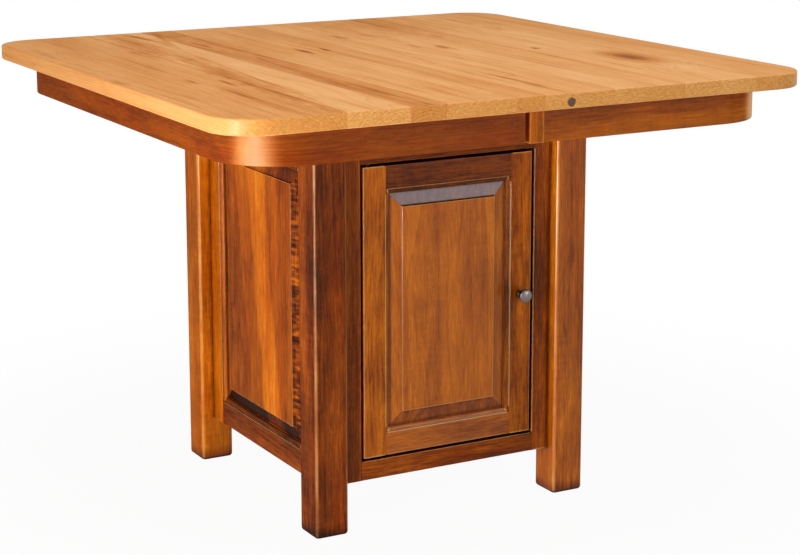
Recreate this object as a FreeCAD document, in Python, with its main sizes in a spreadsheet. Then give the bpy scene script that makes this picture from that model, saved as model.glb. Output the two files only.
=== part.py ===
"""Square kitchen table on a cabinet base, with a top in two halves that slide apart.

Frame: the floor is z = 0, the middle of the table is x = y = 0, the door faces -Y,
and the halves of the top slide apart along X.
"""
import FreeCAD, Part
import math
import os
import re

SIZES = {
    # Table top
    "top_size": 1066.8,
    "top_height": 762.0,
    "top_thickness": 25.4,
    "top_corner_radius": 76.0,
    "top_ease": 3.0,
    "seam_gap": 0.3,
    # Aprons under the top
    "apron_overhang": 41.5,
    "apron_height": 57.0,
    "apron_thickness": 19.0,
    "apron_corner_radius": 110.0,
    "apron_ease": 1.5,
    "apron_setback": 9.0,
    "end_block_width": 25.0,
    "end_block_depth": 90.0,
    # Posts and the outline of the base
    "base_size": 529.0,
    "slide_room": 50.6,
    "post_size": 62.0,
    "post_ease": 8.5,
    "foot_ease": 6.0,
    "rail_floor_gap": 81.0,
    "side_inset": 23.8,
    "front_inset": 20.0,
    # Stiles, rails and raised panels of the door and the sides
    "frame_thickness": 19.0,
    "stile_flat": 42.0,
    "door_rail_flat": 40.0,
    "side_bottom_flat": 42.0,
    "side_top_flat": 77.0,
    "bead_width": 8.0,
    "bead_step": 2.0,
    "bead_radius": 5.5,
    "groove_lip": 0.5,
    "groove_width": 6.2,
    "panel_play": 0.1,
    "panel_edge_room": 1.5,
    "bevel_margin": 1.0,
    "bevel_width": 24.0,
    "field_recess": 1.0,
    "field_step": 3.0,
    "field_cove": 3.0,
    "frame_ease": 1.2,
    # Face frame and door
    "face_stile": 34.0,
    "face_bottom_rail": 33.0,
    "face_top_rail": 65.0,
    "door_gap": 5.2,
    # Pivot hinges of the door
    "pivot_from_edge": 12.0,
    "pivot_from_front": 7.0,
    "pivot_radius": 2.5,
    "pivot_reach": 12.0,
    "pivot_collar_radius": 4.5,
    "pivot_collar_gap": 0.3,
    "pivot_hole_room": 0.5,
    "leaf_margin": 3.0,
    "leaf_width": 10.0,
    "leaf_thickness": 2.5,
    "leaf_end": 7.0,
    "running_clearance": 0.05,
    # Knob
    "knob_radius": 12.0,
    "knob_rim": 5.0,
    "knob_dome": 3.0,
    "knob_neck_radius": 4.5,
    "knob_foot_radius": 7.5,
    "knob_foot": 3.0,
    "knob_neck": 9.0,
    "knob_flare": 6.0,
    "knob_screw_radius": 2.0,
    "knob_screw_bite": 9.0,
    "knob_screw_head_radius": 4.5,
    "knob_screw_head": 2.2,
    "screw_room": 0.1,
    # Magnetic catch and its strike plate
    "catch_height": 40.0,
    "catch_drop": 60.0,
    "catch_block_width": 20.0,
    "catch_block_depth": 14.0,
    "catch_flange_width": 24.0,
    "catch_flange_thickness": 2.5,
    "catch_gap": 0.3,
    "strike_width": 14.0,
    "strike_thickness": 1.5,
    "strike_from_edge": 4.0,
    # Boards inside the cabinet
    "floor_thickness": 16.0,
    "top_board_thickness": 19.0,
    "notch_clearance": 0.5,
    "shelf_thickness": 18.0,
    "shelf_height": 330.0,
    "shelf_side_gap": 1.5,
    "shelf_front_gap": 10.0,
    "shelf_back_gap": 3.0,
    "shelf_pin_radius": 2.5,
    "shelf_pin_bite": 10.0,
    "shelf_pin_reach": 9.0,
    "shelf_pin_from_frame": 9.0,
    "shelf_pin_gap": 0.1,
    # Geared slides
    "slide_travel": 305.0,
    "slide_inset": 7.5,
    "center_slide_width": 30.0,
    "center_slide_length": 520.0,
    "center_slide_head_room": 2.0,
    "slide_gap": 0.5,
    "slide_width": 32.0,
    "slide_bottom_gap": 2.5,
    "slide_end_gap": 12.0,
    "tongue_height": 8.0,
    "tongue_depth": 6.0,
    "tongue_play": 0.4,
    "tongue_rise": 32.0,
    "gear_module": 2.5,
    "gear_thickness": 8.0,
    "gear_rise": 10.0,
    "gear_backlash": 0.3,
    "gear_pocket_room": 1.5,
    "rack_height": 10.0,
    "rack_back": 4.0,
    "rack_spare": 25.0,
    "pinion_pin_radius": 4.0,
    "pinion_pin_length": 26.0,
    "pinion_pin_rise": 1.0,
    # Wood screws of the slides
    "screw_radius": 2.4,
    "screw_head_radius": 4.5,
    "screw_head": 3.0,
    "screw_bite": 14.0,
    "screw_sink": 4.0,
    "slide_screw_sink": 26.0,
    "slide_screw_from_back": 9.0,
    # Pins that line up the two halves
    "align_pin_radius": 4.75,
    "align_pin_bite": 20.0,
    "align_pin_reach": 14.0,
    "align_pin_room": 0.4,
    "align_pin_end_room": 3.0,
    "align_pin_spacing": 400.0,
    # Lock under the seam
    "lock_setback": 32.0,
    "lock_reach": 60.0,
    "lock_plate_length": 56.0,
    "lock_plate_width": 40.0,
    "lock_plate_thickness": 2.5,
    "lock_stud_radius": 4.0,
    "lock_stud_head_radius": 7.0,
    "lock_stud_head": 2.5,
    "lock_play": 0.5,
    "lever_width": 18.0,
    "lever_thickness": 4.0,
    "lever_hook": 6.0,
    "lever_tail": 28.0,
    "keeper_pin_radius": 3.0,
    "keeper_pin_room": 1.5,
    "keeper_length": 36.0,
    # Extra length of a cut past the face that it opens, and of one block into the next
    "overrun": 2.0,
}

# Places of the screws: across the cabinet for the centre slides, along the rail for the others
CENTER_SCREW_SHARES = (0.08, 0.33, 0.67, 0.92)
SLIDE_SCREW_SHARES = (0.05, 0.28, 0.5)
# Teeth of a pinion, and their shape as shares of the module
PINION_TEETH = 16
ADDENDUM_SHARE = 0.9
DEDENDUM_SHARE = 1.25
PRESSURE_ANGLE = math.radians(20)
FLANK_STEPS = 6
# Largest rounding of a foot, as a share of the rounding of its post's corners
FOOT_EASE_SHARE = 0.9
# How close an edge lies to a face that it is picked by, as a share of the piece
PICK_SHARE = 1e-6

# Faces and heights that several pieces share
top_half = "(top_size / 2)"
under_top = "(top_height - top_thickness)"
mid_top = "(top_height - top_thickness / 2)"
apron_face = f"({top_half} - apron_overhang)"
apron_inside = f"({apron_face} - apron_thickness)"
apron_bottom = f"({under_top} - apron_height)"
seam = "(seam_gap / 2)"
base_height = f"({under_top} - slide_room)"
base_half = "(base_size / 2)"
post_inside = f"({base_half} - post_size)"
front_face = f"({base_half} - front_inset)"
front_back = f"({front_face} - frame_thickness)"
side_face = f"({base_half} - side_inset)"
side_back = f"({side_face} - frame_thickness)"
opening_half = f"({post_inside} - face_stile)"
opening_bottom = "(rail_floor_gap + face_bottom_rail)"
opening_top = f"({base_height} - face_top_rail)"
door_half = f"({opening_half} - door_gap)"
door_bottom = f"({opening_bottom} + door_gap)"
door_top = f"({opening_top} - door_gap)"
door_middle = f"(({door_bottom} + {door_top}) / 2)"
side_span = f"(2 * {post_inside})"
side_height = f"({base_height} - rail_floor_gap)"
groove_front = "(bead_step + bead_radius + groove_lip)"
# The slides lie between the end of the lock's lever and the front of the base
keeper_notch = "(keeper_pin_radius + keeper_pin_room)"
lever_end = f"(lock_reach + {keeper_notch} + lever_hook)"
slide_line = f"(({front_face} + {lever_end}) / 2 - slide_inset)"
slide_side = "(center_slide_width / 2 + slide_gap)"
gear_radius = f"(gear_module * {PINION_TEETH} / 2)"
gear_low = f"({base_height} + gear_rise)"
rack_depth = f"({gear_radius} + gear_module * {DEDENDUM_SHARE} + rack_back - {slide_side})"
slide_outer = f"({apron_inside} - slide_end_gap)"
slide_inner = "(slide_travel + rack_spare)"
slide_length = f"({slide_outer} + {slide_inner})"
lever_top = f"({under_top} - lock_plate_thickness - lock_play)"
lever_bottom = f"({lever_top} - lever_thickness)"
keeper_reach = "(lock_reach - lock_setback)"

doc = FreeCAD.newDocument("KitchenTable")
sheet = doc.addObject("Spreadsheet::Sheet", "Sizes")
for row, (alias, value) in enumerate(SIZES.items(), start=1):
    sheet.set(f"A{row}", alias)
    sheet.set(f"B{row}", str(value))
    sheet.setAlias(f"B{row}", alias)
doc.recompute()

SUBPARTS = []
AXES = {"X": FreeCAD.Vector(1, 0, 0), "Y": FreeCAD.Vector(0, 1, 0), "Z": FreeCAD.Vector(0, 0, 1)}


def size(alias):
    """Read one size from the sheet."""
    return float(sheet.get(alias))


def bind(thing, place, formula):
    """Tie a property to a formula whose words are sizes in the sheet."""
    def cell(word):
        return "Sizes." + word.group() if word.group() in SIZES else word.group()
    thing.setExpression(place, re.sub(r"[a-z][a-z_]*", cell, formula))


def subpart(thing, label):
    """Count an object of the document as a finished sub-part."""
    thing.Label = label
    SUBPARTS.append(thing)
    return thing


def new_body(label):
    """Start a piece that is worked from one blank."""
    return subpart(doc.addObject("PartDesign::Body", label), label)


def put(thing, low):
    """Tie the place of an object to three formulas."""
    for axis, formula in zip("xyz", low):
        bind(thing, "Placement.Base." + axis, formula)


def shape_box(box, low, extent):
    """Tie the low corner and the extent of a box to formulas."""
    for side, formula in zip(("Length", "Width", "Height"), extent):
        bind(box, side, formula)
    put(box, low)
    return box


def add_box(piece, name, low, extent):
    """Add a box to a body."""
    return shape_box(piece.newObject("PartDesign::AdditiveBox", name), low, extent)


def cut_box(piece, name, low, extent):
    """Cut a box out of a body."""
    return shape_box(piece.newObject("PartDesign::SubtractiveBox", name), low, extent)


def turn_to(thing, along):
    """Turn an object that stands along Z so that it runs along +X, +Y or -Z."""
    turns = {"X": ("Y", 90), "Y": ("X", -90), "Z": ("Z", 0), "-Z": ("X", 180)}
    axis, angle = turns[along]
    thing.Placement = FreeCAD.Placement(FreeCAD.Vector(), FreeCAD.Rotation(AXES[axis], angle))


def shape_cylinder(rod, start, along, radius, length):
    """Tie a cylinder to its start, direction, radius and length."""
    turn_to(rod, along)
    put(rod, start)
    bind(rod, "Radius", radius)
    bind(rod, "Height", length)
    return rod


def add_cylinder(piece, name, start, along, radius, length):
    """Add a cylinder to a body."""
    rod = piece.newObject("PartDesign::AdditiveCylinder", name)
    return shape_cylinder(rod, start, along, radius, length)


def cut_cylinder(piece, name, start, along, radius, length):
    """Cut a round hole in a body."""
    rod = piece.newObject("PartDesign::SubtractiveCylinder", name)
    return shape_cylinder(rod, start, along, radius, length)


def add_cone(piece, name, start, along, radii, length):
    """Add a cone to a body, with a radius at its start and one at its end."""
    cone = piece.newObject("PartDesign::AdditiveCone", name)
    turn_to(cone, along)
    put(cone, start)
    bind(cone, "Radius1", radii[0])
    bind(cone, "Radius2", radii[1])
    bind(cone, "Height", length)
    return cone


def round_edges(piece, name, along, wanted, radius):
    """Round the edges of a body that run along an axis and lie where the test wants them."""
    doc.recompute()
    feature = piece.Tip
    box = feature.Shape.BoundBox
    hair = box.DiagonalLength * PICK_SHARE

    def near(place, limit):
        return abs(place - limit) < hair

    picked = []
    for number, edge in enumerate(feature.Shape.Edges, start=1):
        span = edge.BoundBox
        lengths = {"X": span.XLength, "Y": span.YLength, "Z": span.ZLength}
        runs = along is None or all(lengths[axis] < hair for axis in "XYZ" if axis != along)
        if runs and wanted(edge.BoundBox.Center, box, near):
            picked.append(f"Edge{number}")
    if not picked:
        raise ValueError(f"{piece.Label}: {name} finds no edge")
    fillet = piece.newObject("PartDesign::Fillet", name)
    fillet.Base = (feature, picked)
    bind(fillet, "Radius", radius)
    doc.recompute()
    return fillet


def group(label, things):
    """Keep like pieces as separate solids of one sub-part."""
    pair = doc.addObject("Part::Compound", label)
    pair.Links = things
    return subpart(pair, label)


def part_cylinder(name, start, along, radius, length):
    """Make a plain cylinder."""
    return shape_cylinder(doc.addObject("Part::Cylinder", name), start, along, radius, length)


def outward(sign, near, thickness):
    """Low side of a layer that starts near the middle and grows to one side of it."""
    return near if sign > 0 else f"-{near} - {thickness}"


# Posts
pin_height = "shelf_height - shelf_pin_radius - shelf_pin_gap"


def pin_place(y_sign):
    """Distance of the shelf pins from the middle, close behind the face frame and the back."""
    return f"-{front_back} + shelf_pin_from_frame" if y_sign < 0 else f"{side_back} - shelf_pin_from_frame"


def make_post(label, x_sign, y_sign):
    """Square post with eased corners, a rounded foot and a hole for a shelf pin."""
    post = new_body(label)
    low = (outward(x_sign, post_inside, "post_size"), outward(y_sign, post_inside, "post_size"), "0")
    add_box(post, "post_blank", low, ("post_size", "post_size", base_height))
    round_edges(post, "post_corners", "Z", lambda at, box, near: True, "post_ease")
    foot_ease = f"min(foot_ease; {FOOT_EASE_SHARE} * post_ease)"
    round_edges(post, "post_foot", None, lambda at, box, near: near(at.z, box.ZMin), foot_ease)
    inner = f"({post_inside} - overrun)"
    depth = "shelf_pin_bite + overrun"
    start = (outward(x_sign, inner, f"({depth})"), pin_place(y_sign), pin_height)
    cut_cylinder(post, "pin_hole", start, "X", "shelf_pin_radius + screw_room", depth)


for y_name, y_sign in (("front", -1), ("back", 1)):
    for x_name, x_sign in (("left", -1), ("right", 1)):
        make_post(f"post_{y_name}_{x_name}", x_sign, y_sign)


# Stiles, rails and raised panels
def shape_edge(piece, along, inner_sign, inner, span):
    """Work the inner edge of a stile or rail: a step, a groove for the panel and a rounded bead."""
    depth = f"{inner} - bead_width" if inner_sign > 0 else f"{inner} - overrun"
    cross = "bead_width + overrun"
    start, length = span
    for name, front, thick in (("step", "-overrun", "overrun + bead_step"),
                               ("groove", groove_front, "groove_width")):
        if along == "Z":
            cut_box(piece, name, (depth, front, start), (cross, thick, length))
        else:
            cut_box(piece, name, (start, front, depth), (length, thick, cross))

    def bead(at, box, near):
        if along == "Z":
            on_inner = near(at.x, box.XMax if inner_sign > 0 else box.XMin)
        else:
            on_inner = near(at.z, box.ZMax if inner_sign > 0 else box.ZMin)
        return on_inner and near(at.y, box.YMin + size("bead_step"))

    round_edges(piece, "bead", along, bead, "min(bead_radius; bead_width - groove_lip)")


def ease_front(piece, along, wanted):
    """Ease an outer edge of the front face."""
    def on_front(at, box, near):
        return near(at.y, box.YMin) and wanted(at, box, near)

    round_edges(piece, "outer_ease", along, on_front, "frame_ease")


def make_frame(labels, width, bottom, height, flats, angle, place):
    """Frame and raised panel, front on y = 0 before it is turned and put in its place."""
    bottom_flat, top_flat = flats
    half = f"({width} / 2)"
    bodies = []
    stile_width = "(stile_flat + bead_width)"

    def new_piece(label):
        piece = doc.addObject("PartDesign::Body", label)
        piece.Label = label
        turn = FreeCAD.Rotation(AXES["Z"], angle)
        piece.Placement = FreeCAD.Placement(FreeCAD.Vector(), turn)
        put(piece, place)
        bodies.append(piece)
        return piece

    stiles = []
    for label, sign in ((labels["low_stile"], -1), (labels["high_stile"], 1)):
        stile = new_piece(label)
        low = f"-{half}" if sign < 0 else f"{half} - {stile_width}"
        inner = f"({half} - {stile_width})"
        add_box(stile, "blank", (low, "0", bottom), (stile_width, "frame_thickness", height))
        edge = f"(-{inner})" if sign < 0 else inner
        shape_edge(stile, "Z", -sign, edge, (f"{bottom} - overrun", f"{height} + 2 * overrun"))
        side = "XMin" if sign < 0 else "XMax"
        ease_front(stile, "Z", lambda at, box, near, side=side: near(at.x, getattr(box, side)))
        stiles.append(subpart(stile, label))

    both_stiles = doc.addObject("Part::MultiFuse", labels["panel"] + "_stiles")
    both_stiles.Shapes = stiles
    rails = ((labels["bottom_rail"], 1, bottom, bottom_flat),
             (labels["top_rail"], -1, f"{bottom} + {height} - {top_flat} - bead_width", top_flat))
    for label, sign, low, flat in rails:
        rail = new_piece(label + "_blank")
        length = f"({width} - 2 * stile_flat)"
        start = f"-{half} + stile_flat"
        add_box(rail, "blank", (start, "0", low), (length, "frame_thickness", f"{flat} + bead_width"))
        inner = f"({low} + {flat} + bead_width)" if sign > 0 else f"({low})"
        shape_edge(rail, "X", sign, inner, (f"{start} - overrun", f"{length} + 2 * overrun"))
        side = "ZMin" if sign > 0 else "ZMax"
        ease_front(rail, "X", lambda at, box, near, side=side: near(at.z, getattr(box, side)))
        coped = doc.addObject("Part::Cut", label)
        coped.Base = rail
        coped.Tool = both_stiles
        subpart(coped, label)

    panel = subpart(new_piece(labels["panel"]), labels["panel"])
    open_half = f"({half} - {stile_width})"
    open_low = f"({bottom} + {bottom_flat} + bead_width)"
    open_high = f"({bottom} + {height} - {top_flat} - bead_width)"
    open_width = f"(2 * {open_half})"
    open_height = f"({open_high} - {open_low})"
    grow = "(bead_width - panel_edge_room)"
    tongue_front = f"({groove_front} + panel_play)"
    field_front = "(field_recess + field_step)"
    add_box(panel, "tongue", (f"-{open_half} - {grow}", tongue_front, f"{open_low} - {grow}"),
            (f"{open_width} + 2 * {grow}", "groove_width - 2 * panel_play", f"{open_height} + 2 * {grow}"))
    bevel = panel.newObject("PartDesign::AdditiveWedge", "bevel")
    for corner, step in (("", "bevel_width"), ("2", "bevel_margin")):
        bind(bevel, f"X{corner}min", f"-{open_half} + {step}")
        bind(bevel, f"X{corner}max", f"{open_half} - {step}")
        bind(bevel, f"Z{corner}min", f"{open_low} + {step}")
        bind(bevel, f"Z{corner}max", f"{open_high} - {step}")
    bind(bevel, "Ymin", field_front)
    bind(bevel, "Ymax", tongue_front)
    add_box(panel, "field", (f"-{open_half} + bevel_width", "field_recess", f"{open_low} + bevel_width"),
            (f"{open_width} - 2 * bevel_width", "field_step", f"{open_height} - 2 * bevel_width"))

    def shoulder(at, box, near):
        return near(at.y, box.YMin + size("field_step"))

    round_edges(panel, "cove", None, shoulder, "min(field_cove; field_step)")
    return dict(zip(("low_stile", "high_stile"), stiles))


def frame_labels(prefix, low, high):
    """Names of the five pieces of one frame."""
    return {"low_stile": f"{prefix}_{low}_stile", "high_stile": f"{prefix}_{high}_stile",
            "bottom_rail": f"{prefix}_bottom_rail", "top_rail": f"{prefix}_top_rail",
            "panel": f"{prefix}_panel"}


side_flats = ("side_bottom_flat", "side_top_flat")
for prefix, low, high, angle, place in (
        ("left_side", "back", "front", -90, (f"-{side_face}", "0", "0")),
        ("right_side", "front", "back", 90, (side_face, "0", "0")),
        ("back", "right", "left", 180, ("0", side_face, "0"))):
    make_frame(frame_labels(prefix, low, high), side_span, "rail_floor_gap", side_height,
               side_flats, angle, place)

door = make_frame(frame_labels("door", "hinge", "lock"), f"(2 * {door_half})", door_bottom,
                  f"({door_top} - {door_bottom})", ("door_rail_flat", "door_rail_flat"), 0,
                  ("0", f"-{front_face}", "0"))


# Face frame round the door
pivot_x = f"(-{door_half} + pivot_from_edge)"
pivot_y = f"(-{front_face} + pivot_from_front)"
leaf_low = f"({pivot_x} - leaf_end)"
leaf_front = f"({pivot_y} - leaf_width / 2)"
leaf_length = "(stile_flat - pivot_from_edge + leaf_end - leaf_margin)"
leaf_extent = (leaf_length, "leaf_width", "leaf_thickness")
lower_leaf_seat = f"({opening_bottom} - leaf_thickness)"


def make_face_frame():
    """Two stiles and two rails with eased edges, and the seats of the hinge leaves in the rails."""
    for label, sign in (("face_frame_left_stile", -1), ("face_frame_right_stile", 1)):
        stile = new_body(label)
        low = (outward(sign, opening_half, "face_stile"), f"-{front_face}", "rail_floor_gap")
        add_box(stile, "blank", low, ("face_stile", "frame_thickness", side_height))
        side = "XMax" if sign < 0 else "XMin"
        ease_front(stile, "Z", lambda at, box, near, side=side: near(at.x, getattr(box, side)))
    for label, low, height, seat in (
            ("face_frame_bottom_rail", "rail_floor_gap", "face_bottom_rail", lower_leaf_seat),
            ("face_frame_top_rail", opening_top, "face_top_rail", opening_top)):
        rail = new_body(label)
        add_box(rail, "blank", (f"-{opening_half}", f"-{front_face}", low),
                (f"2 * {opening_half}", "frame_thickness", height))
        ease_front(rail, "X", lambda at, box, near: near(at.z, box.ZMin))
        cut_box(rail, "leaf_seat", (leaf_low, leaf_front, seat), leaf_extent)


make_face_frame()


# Pivot hinges, knob and catch of the door
def make_hinges():
    """Flush leaves in the frame with pivot pins, and flush leaves in the door that turn on them."""
    frame_leaves = []
    door_leaves = []
    stile = door["low_stile"]
    local_front = "(pivot_from_front - leaf_width / 2)"
    collar = "(door_gap - pivot_collar_gap)"
    bore_radius = "pivot_radius + running_clearance"
    for end, frame_seat, face, door_seat, door_face, along in (
            ("lower", lower_leaf_seat, opening_bottom, door_bottom, door_bottom, "Z"),
            ("upper", opening_top, opening_top, f"({door_top} - leaf_thickness)", door_top, "-Z")):
        leaf = doc.addObject("PartDesign::Body", f"{end}_frame_leaf")
        add_box(leaf, "plate", (leaf_low, leaf_front, frame_seat), leaf_extent)
        at_face = (pivot_x, pivot_y, face)
        add_cylinder(leaf, "collar", at_face, along, "pivot_collar_radius", collar)
        add_cylinder(leaf, "pin", at_face, along, "pivot_radius", "door_gap + pivot_reach")
        frame_leaves.append(leaf)

        plate = doc.addObject("PartDesign::Body", f"{end}_door_leaf")
        add_box(plate, "plate", (leaf_low, leaf_front, door_seat), leaf_extent)
        below = (pivot_x, pivot_y, f"{door_seat} - overrun")
        cut_cylinder(plate, "bore", below, "Z", bore_radius, "leaf_thickness + 2 * overrun")
        door_leaves.append(plate)

        cut_box(stile, f"{end}_leaf_seat", (leaf_low, local_front, door_seat), leaf_extent)
        hole = (pivot_x, "pivot_from_front", door_face)
        cut_cylinder(stile, f"{end}_pin_hole", hole, along, "pivot_radius + pivot_hole_room",
                     "pivot_reach + 2 * pivot_hole_room")
    group("hinge_frame_leaves", frame_leaves)
    group("hinge_door_leaves", door_leaves)


def make_knob():
    """Round knob on a waisted neck, held by a screw through the lock stile."""
    knob_x = f"({door_half} - stile_flat / 2)"
    knob = new_body("door_knob")
    tail = f"-{front_face}"
    steps = (("knob_foot", "knob_foot_radius", "knob_foot_radius"),
             ("knob_neck", "knob_foot_radius", "knob_neck_radius"),
             ("knob_flare", "knob_neck_radius", "knob_radius"),
             ("knob_rim", "knob_radius", "knob_radius"))
    for length, near_radius, far_radius in steps:
        tail = f"{tail} - {length}"
        start = (knob_x, tail, door_middle)
        if near_radius == far_radius:
            add_cylinder(knob, length, start, "Y", far_radius, length)
        else:
            add_cone(knob, length, start, "Y", (far_radius, near_radius), length)
    round_edges(knob, "knob_face", None, lambda at, box, near: near(at.y, box.YMin), "knob_dome")
    bore = (knob_x, f"-{front_face} - knob_screw_bite - screw_room", door_middle)
    hole_radius = "knob_screw_radius + screw_room"
    cut_cylinder(knob, "screw_hole", bore, "Y", hole_radius, "knob_screw_bite + overrun")

    stile_hole = (knob_x, "-overrun", door_middle)
    through = "frame_thickness + 2 * overrun"
    cut_cylinder(door["high_stile"], "knob_hole", stile_hole, "Y", hole_radius, through)
    screw = new_body("knob_screw")
    tip = (knob_x, f"-{front_face} - knob_screw_bite", door_middle)
    add_cylinder(screw, "shank", tip, "Y", "knob_screw_radius", "knob_screw_bite + frame_thickness")
    back = (knob_x, f"-{front_back}", door_middle)
    add_cylinder(screw, "head", back, "Y", "knob_screw_head_radius", "knob_screw_head")


def make_catch():
    """Magnet on the back of the face frame, and its strike plate let into the back of the door."""
    low = f"({opening_top} - catch_drop - catch_height)"
    catch = new_body("magnetic_catch")
    block_low = f"({opening_half} - catch_block_width)"
    add_box(catch, "magnet", (block_low, f"-{front_back} + catch_gap", low),
            ("catch_block_width + overrun", "catch_block_depth", "catch_height"))
    add_box(catch, "flange", (opening_half, f"-{front_back}", low),
            ("catch_flange_width", "catch_flange_thickness", "catch_height"))
    strike_low = f"({door_half} - strike_from_edge - strike_width)"
    extent = ("strike_width", "strike_thickness", "catch_height")
    strike = new_body("catch_strike_plate")
    add_box(strike, "plate", (strike_low, f"-{front_back} - strike_thickness", low), extent)
    seat = (strike_low, "frame_thickness - strike_thickness", low)
    cut_box(door["high_stile"], "strike_seat", seat, extent)


make_hinges()
make_knob()
make_catch()


# Boards inside the cabinet
def make_board(label, bottom, thickness):
    """Board that fills the cabinet from side to side, notched round the four posts."""
    board = new_body(label)
    depth = f"({front_back} + {side_back})"
    corner = (f"-{side_back}", f"-{front_back}", bottom)
    add_box(board, "blank", corner, (f"2 * {side_back}", depth, thickness))
    notch = f"({post_inside} - notch_clearance)"
    reach = "(post_size + overrun)"
    for x_sign in (-1, 1):
        for y_sign in (-1, 1):
            low = (outward(x_sign, notch, reach), outward(y_sign, notch, reach), f"{bottom} - overrun")
            cut_box(board, "post_notch", low, (reach, reach, f"{thickness} + 2 * overrun"))
    return board


def make_shelf():
    """Loose shelf between the posts, on four pins."""
    shelf = new_body("cabinet_shelf")
    half = f"({post_inside} - shelf_side_gap)"
    front = f"(-{front_back} + shelf_front_gap)"
    depth = f"({side_back} - shelf_back_gap - {front})"
    add_box(shelf, "board", (f"-{half}", front, "shelf_height"), (f"2 * {half}", depth, "shelf_thickness"))
    ease_front(shelf, "X", lambda at, box, near: True)
    pins = []
    length = "(shelf_pin_bite + shelf_pin_reach)"
    inner = f"({post_inside} - shelf_pin_reach)"
    for x_sign in (-1, 1):
        for y_sign in (-1, 1):
            start = (outward(x_sign, inner, length), pin_place(y_sign), pin_height)
            pins.append(part_cylinder("shelf_pin", start, "X", "shelf_pin_radius", length))
    group("shelf_pins", pins)


make_board("cabinet_floor", f"({opening_bottom} - floor_thickness)", "floor_thickness")
top_board = make_board("cabinet_top_board", f"({base_height} - top_board_thickness)", "top_board_thickness")
make_shelf()


# Wood screws
def make_screw(name, x, y, tip, head_end, upward):
    """Screw along Z: a shank and a flat head."""
    shank = part_cylinder(name + "_shank", (x, y, tip), "-Z" if upward else "Z",
                          "screw_radius", screw_length(tip, head_end, upward))
    low_head = head_end if not upward else f"{head_end} - screw_head"
    head = part_cylinder(name + "_head", (x, y, low_head), "Z", "screw_head_radius", "screw_head")
    screw = doc.addObject("Part::MultiFuse", name)
    screw.Shapes = [shank, head]
    return screw


def screw_length(tip, head_end, upward):
    """Length of the shank from its tip to the underside of the head."""
    return f"({tip} - ({head_end}))" if upward else f"({head_end} - ({tip}))"


def cut_screw_hole(piece, x, y, low, high):
    """Round hole for a shank, with a little room."""
    cut_cylinder(piece, "screw_hole", (x, y, low), "Z", "screw_radius + screw_room", f"{high} - ({low})")


def cut_head_hole(piece, x, y, low, high):
    """Wider hole that lets the head of a screw in."""
    cut_cylinder(piece, "head_hole", (x, y, low), "Z", "screw_head_radius + screw_room", f"{high} - ({low})")


# Slides: a centre rail on the cabinet, and a rail of each half on either side of it
def make_center_slides():
    """Centre rails with a groove on each side, a pocket for the pinion and a pin that carries it."""
    high = f"({under_top} - center_slide_head_room)"
    half_length = "(center_slide_length / 2)"
    groove = "(tongue_depth - slide_gap + tongue_play)"
    groove_low = f"{base_height} + tongue_rise - tongue_play"
    groove_height = "tongue_height + 2 * tongue_play"
    pocket = f"({gear_radius} + gear_module + gear_pocket_room)"
    pocket_low = f"{gear_low} - gear_pocket_room"
    pocket_height = "gear_thickness + 2 * gear_pocket_room"
    below = f"{base_height} - overrun"
    tip = f"({base_height} - screw_bite)"
    head_end = f"({high} - screw_sink - screw_head)"
    pins = []
    screws = []
    for end, y_sign in (("front", -1), ("back", 1)):
        middle = f"({y_sign} * {slide_line})"
        rail = new_body(f"{end}_center_slide")
        near = f"{middle} - center_slide_width / 2"
        far = f"{middle} + center_slide_width / 2"
        add_box(rail, "blank", (f"-{half_length}", near, base_height),
                ("center_slide_length", "center_slide_width", f"{high} - {base_height}"))
        for start in (f"{near} - overrun", f"{far} - {groove}"):
            cut_box(rail, "tongue_groove", (f"-{half_length} - overrun", start, groove_low),
                    ("center_slide_length + 2 * overrun", f"{groove} + overrun", groove_height))
        cut_box(rail, "pinion_pocket", (f"-{pocket}", f"{near} - overrun", pocket_low),
                (f"2 * {pocket}", "center_slide_width + 2 * overrun", pocket_height))
        pin_hole = "overrun + 2 * pinion_pin_rise + pinion_pin_length"
        cut_cylinder(rail, "pin_hole", ("0", middle, below), "Z", "pinion_pin_radius + screw_room", pin_hole)
        pin_start = ("0", middle, f"{base_height} + pinion_pin_rise")
        pins.append(part_cylinder("pinion_pin", pin_start, "Z", "pinion_pin_radius", "pinion_pin_length"))
        for share in CENTER_SCREW_SHARES:
            x = f"((2 * {share} - 1) * {side_back})"
            screws.append(make_screw("slide_base_screw", x, middle, tip, head_end, False))
            cut_screw_hole(rail, x, middle, below, head_end)
            cut_head_hole(rail, x, middle, head_end, f"{high} + overrun")
            cut_screw_hole(top_board, x, middle, f"{tip} - screw_room", f"{base_height} + overrun")
    group("slide_base_screws", screws)
    group("pinion_pins", pins)


def rack_profile(start, count, root, tips, back):
    """Outline of a rack along X from start, with straight-sided teeth that point to -Y."""
    pitch = math.pi * size("gear_module")
    slope = math.tan(PRESSURE_ANGLE)
    half = pitch / 4 - size("gear_backlash") / 2
    at_root = half + (root - pitch_line()) * slope
    at_tip = half - (pitch_line() - tips) * slope
    points = [FreeCAD.Vector(start, back, 0), FreeCAD.Vector(start, root, 0)]
    for number in range(count):
        middle = start + (number + 0.5) * pitch
        for offset, level in ((-at_root, root), (-at_tip, tips), (at_tip, tips), (at_root, root)):
            points.append(FreeCAD.Vector(middle + offset, level, 0))
    end = start + count * pitch
    points += [FreeCAD.Vector(end, root, 0), FreeCAD.Vector(end, back, 0)]
    return Part.makePolygon(points + points[:1])


def pitch_line():
    """Distance of a rack's pitch line from the pinion's axis."""
    return size("gear_module") * PINION_TEETH / 2


def base_level():
    """Height of the top of the base."""
    return size("top_height") - size("top_thickness") - size("slide_room")


def slide_distance():
    """Distance of a centre slide from the middle of the table."""
    front = size("base_size") / 2 - size("front_inset")
    lever = size("lock_reach") + size("keeper_pin_radius") + size("keeper_pin_room") + size("lever_hook")
    return (front + lever) / 2 - size("slide_inset")


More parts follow.
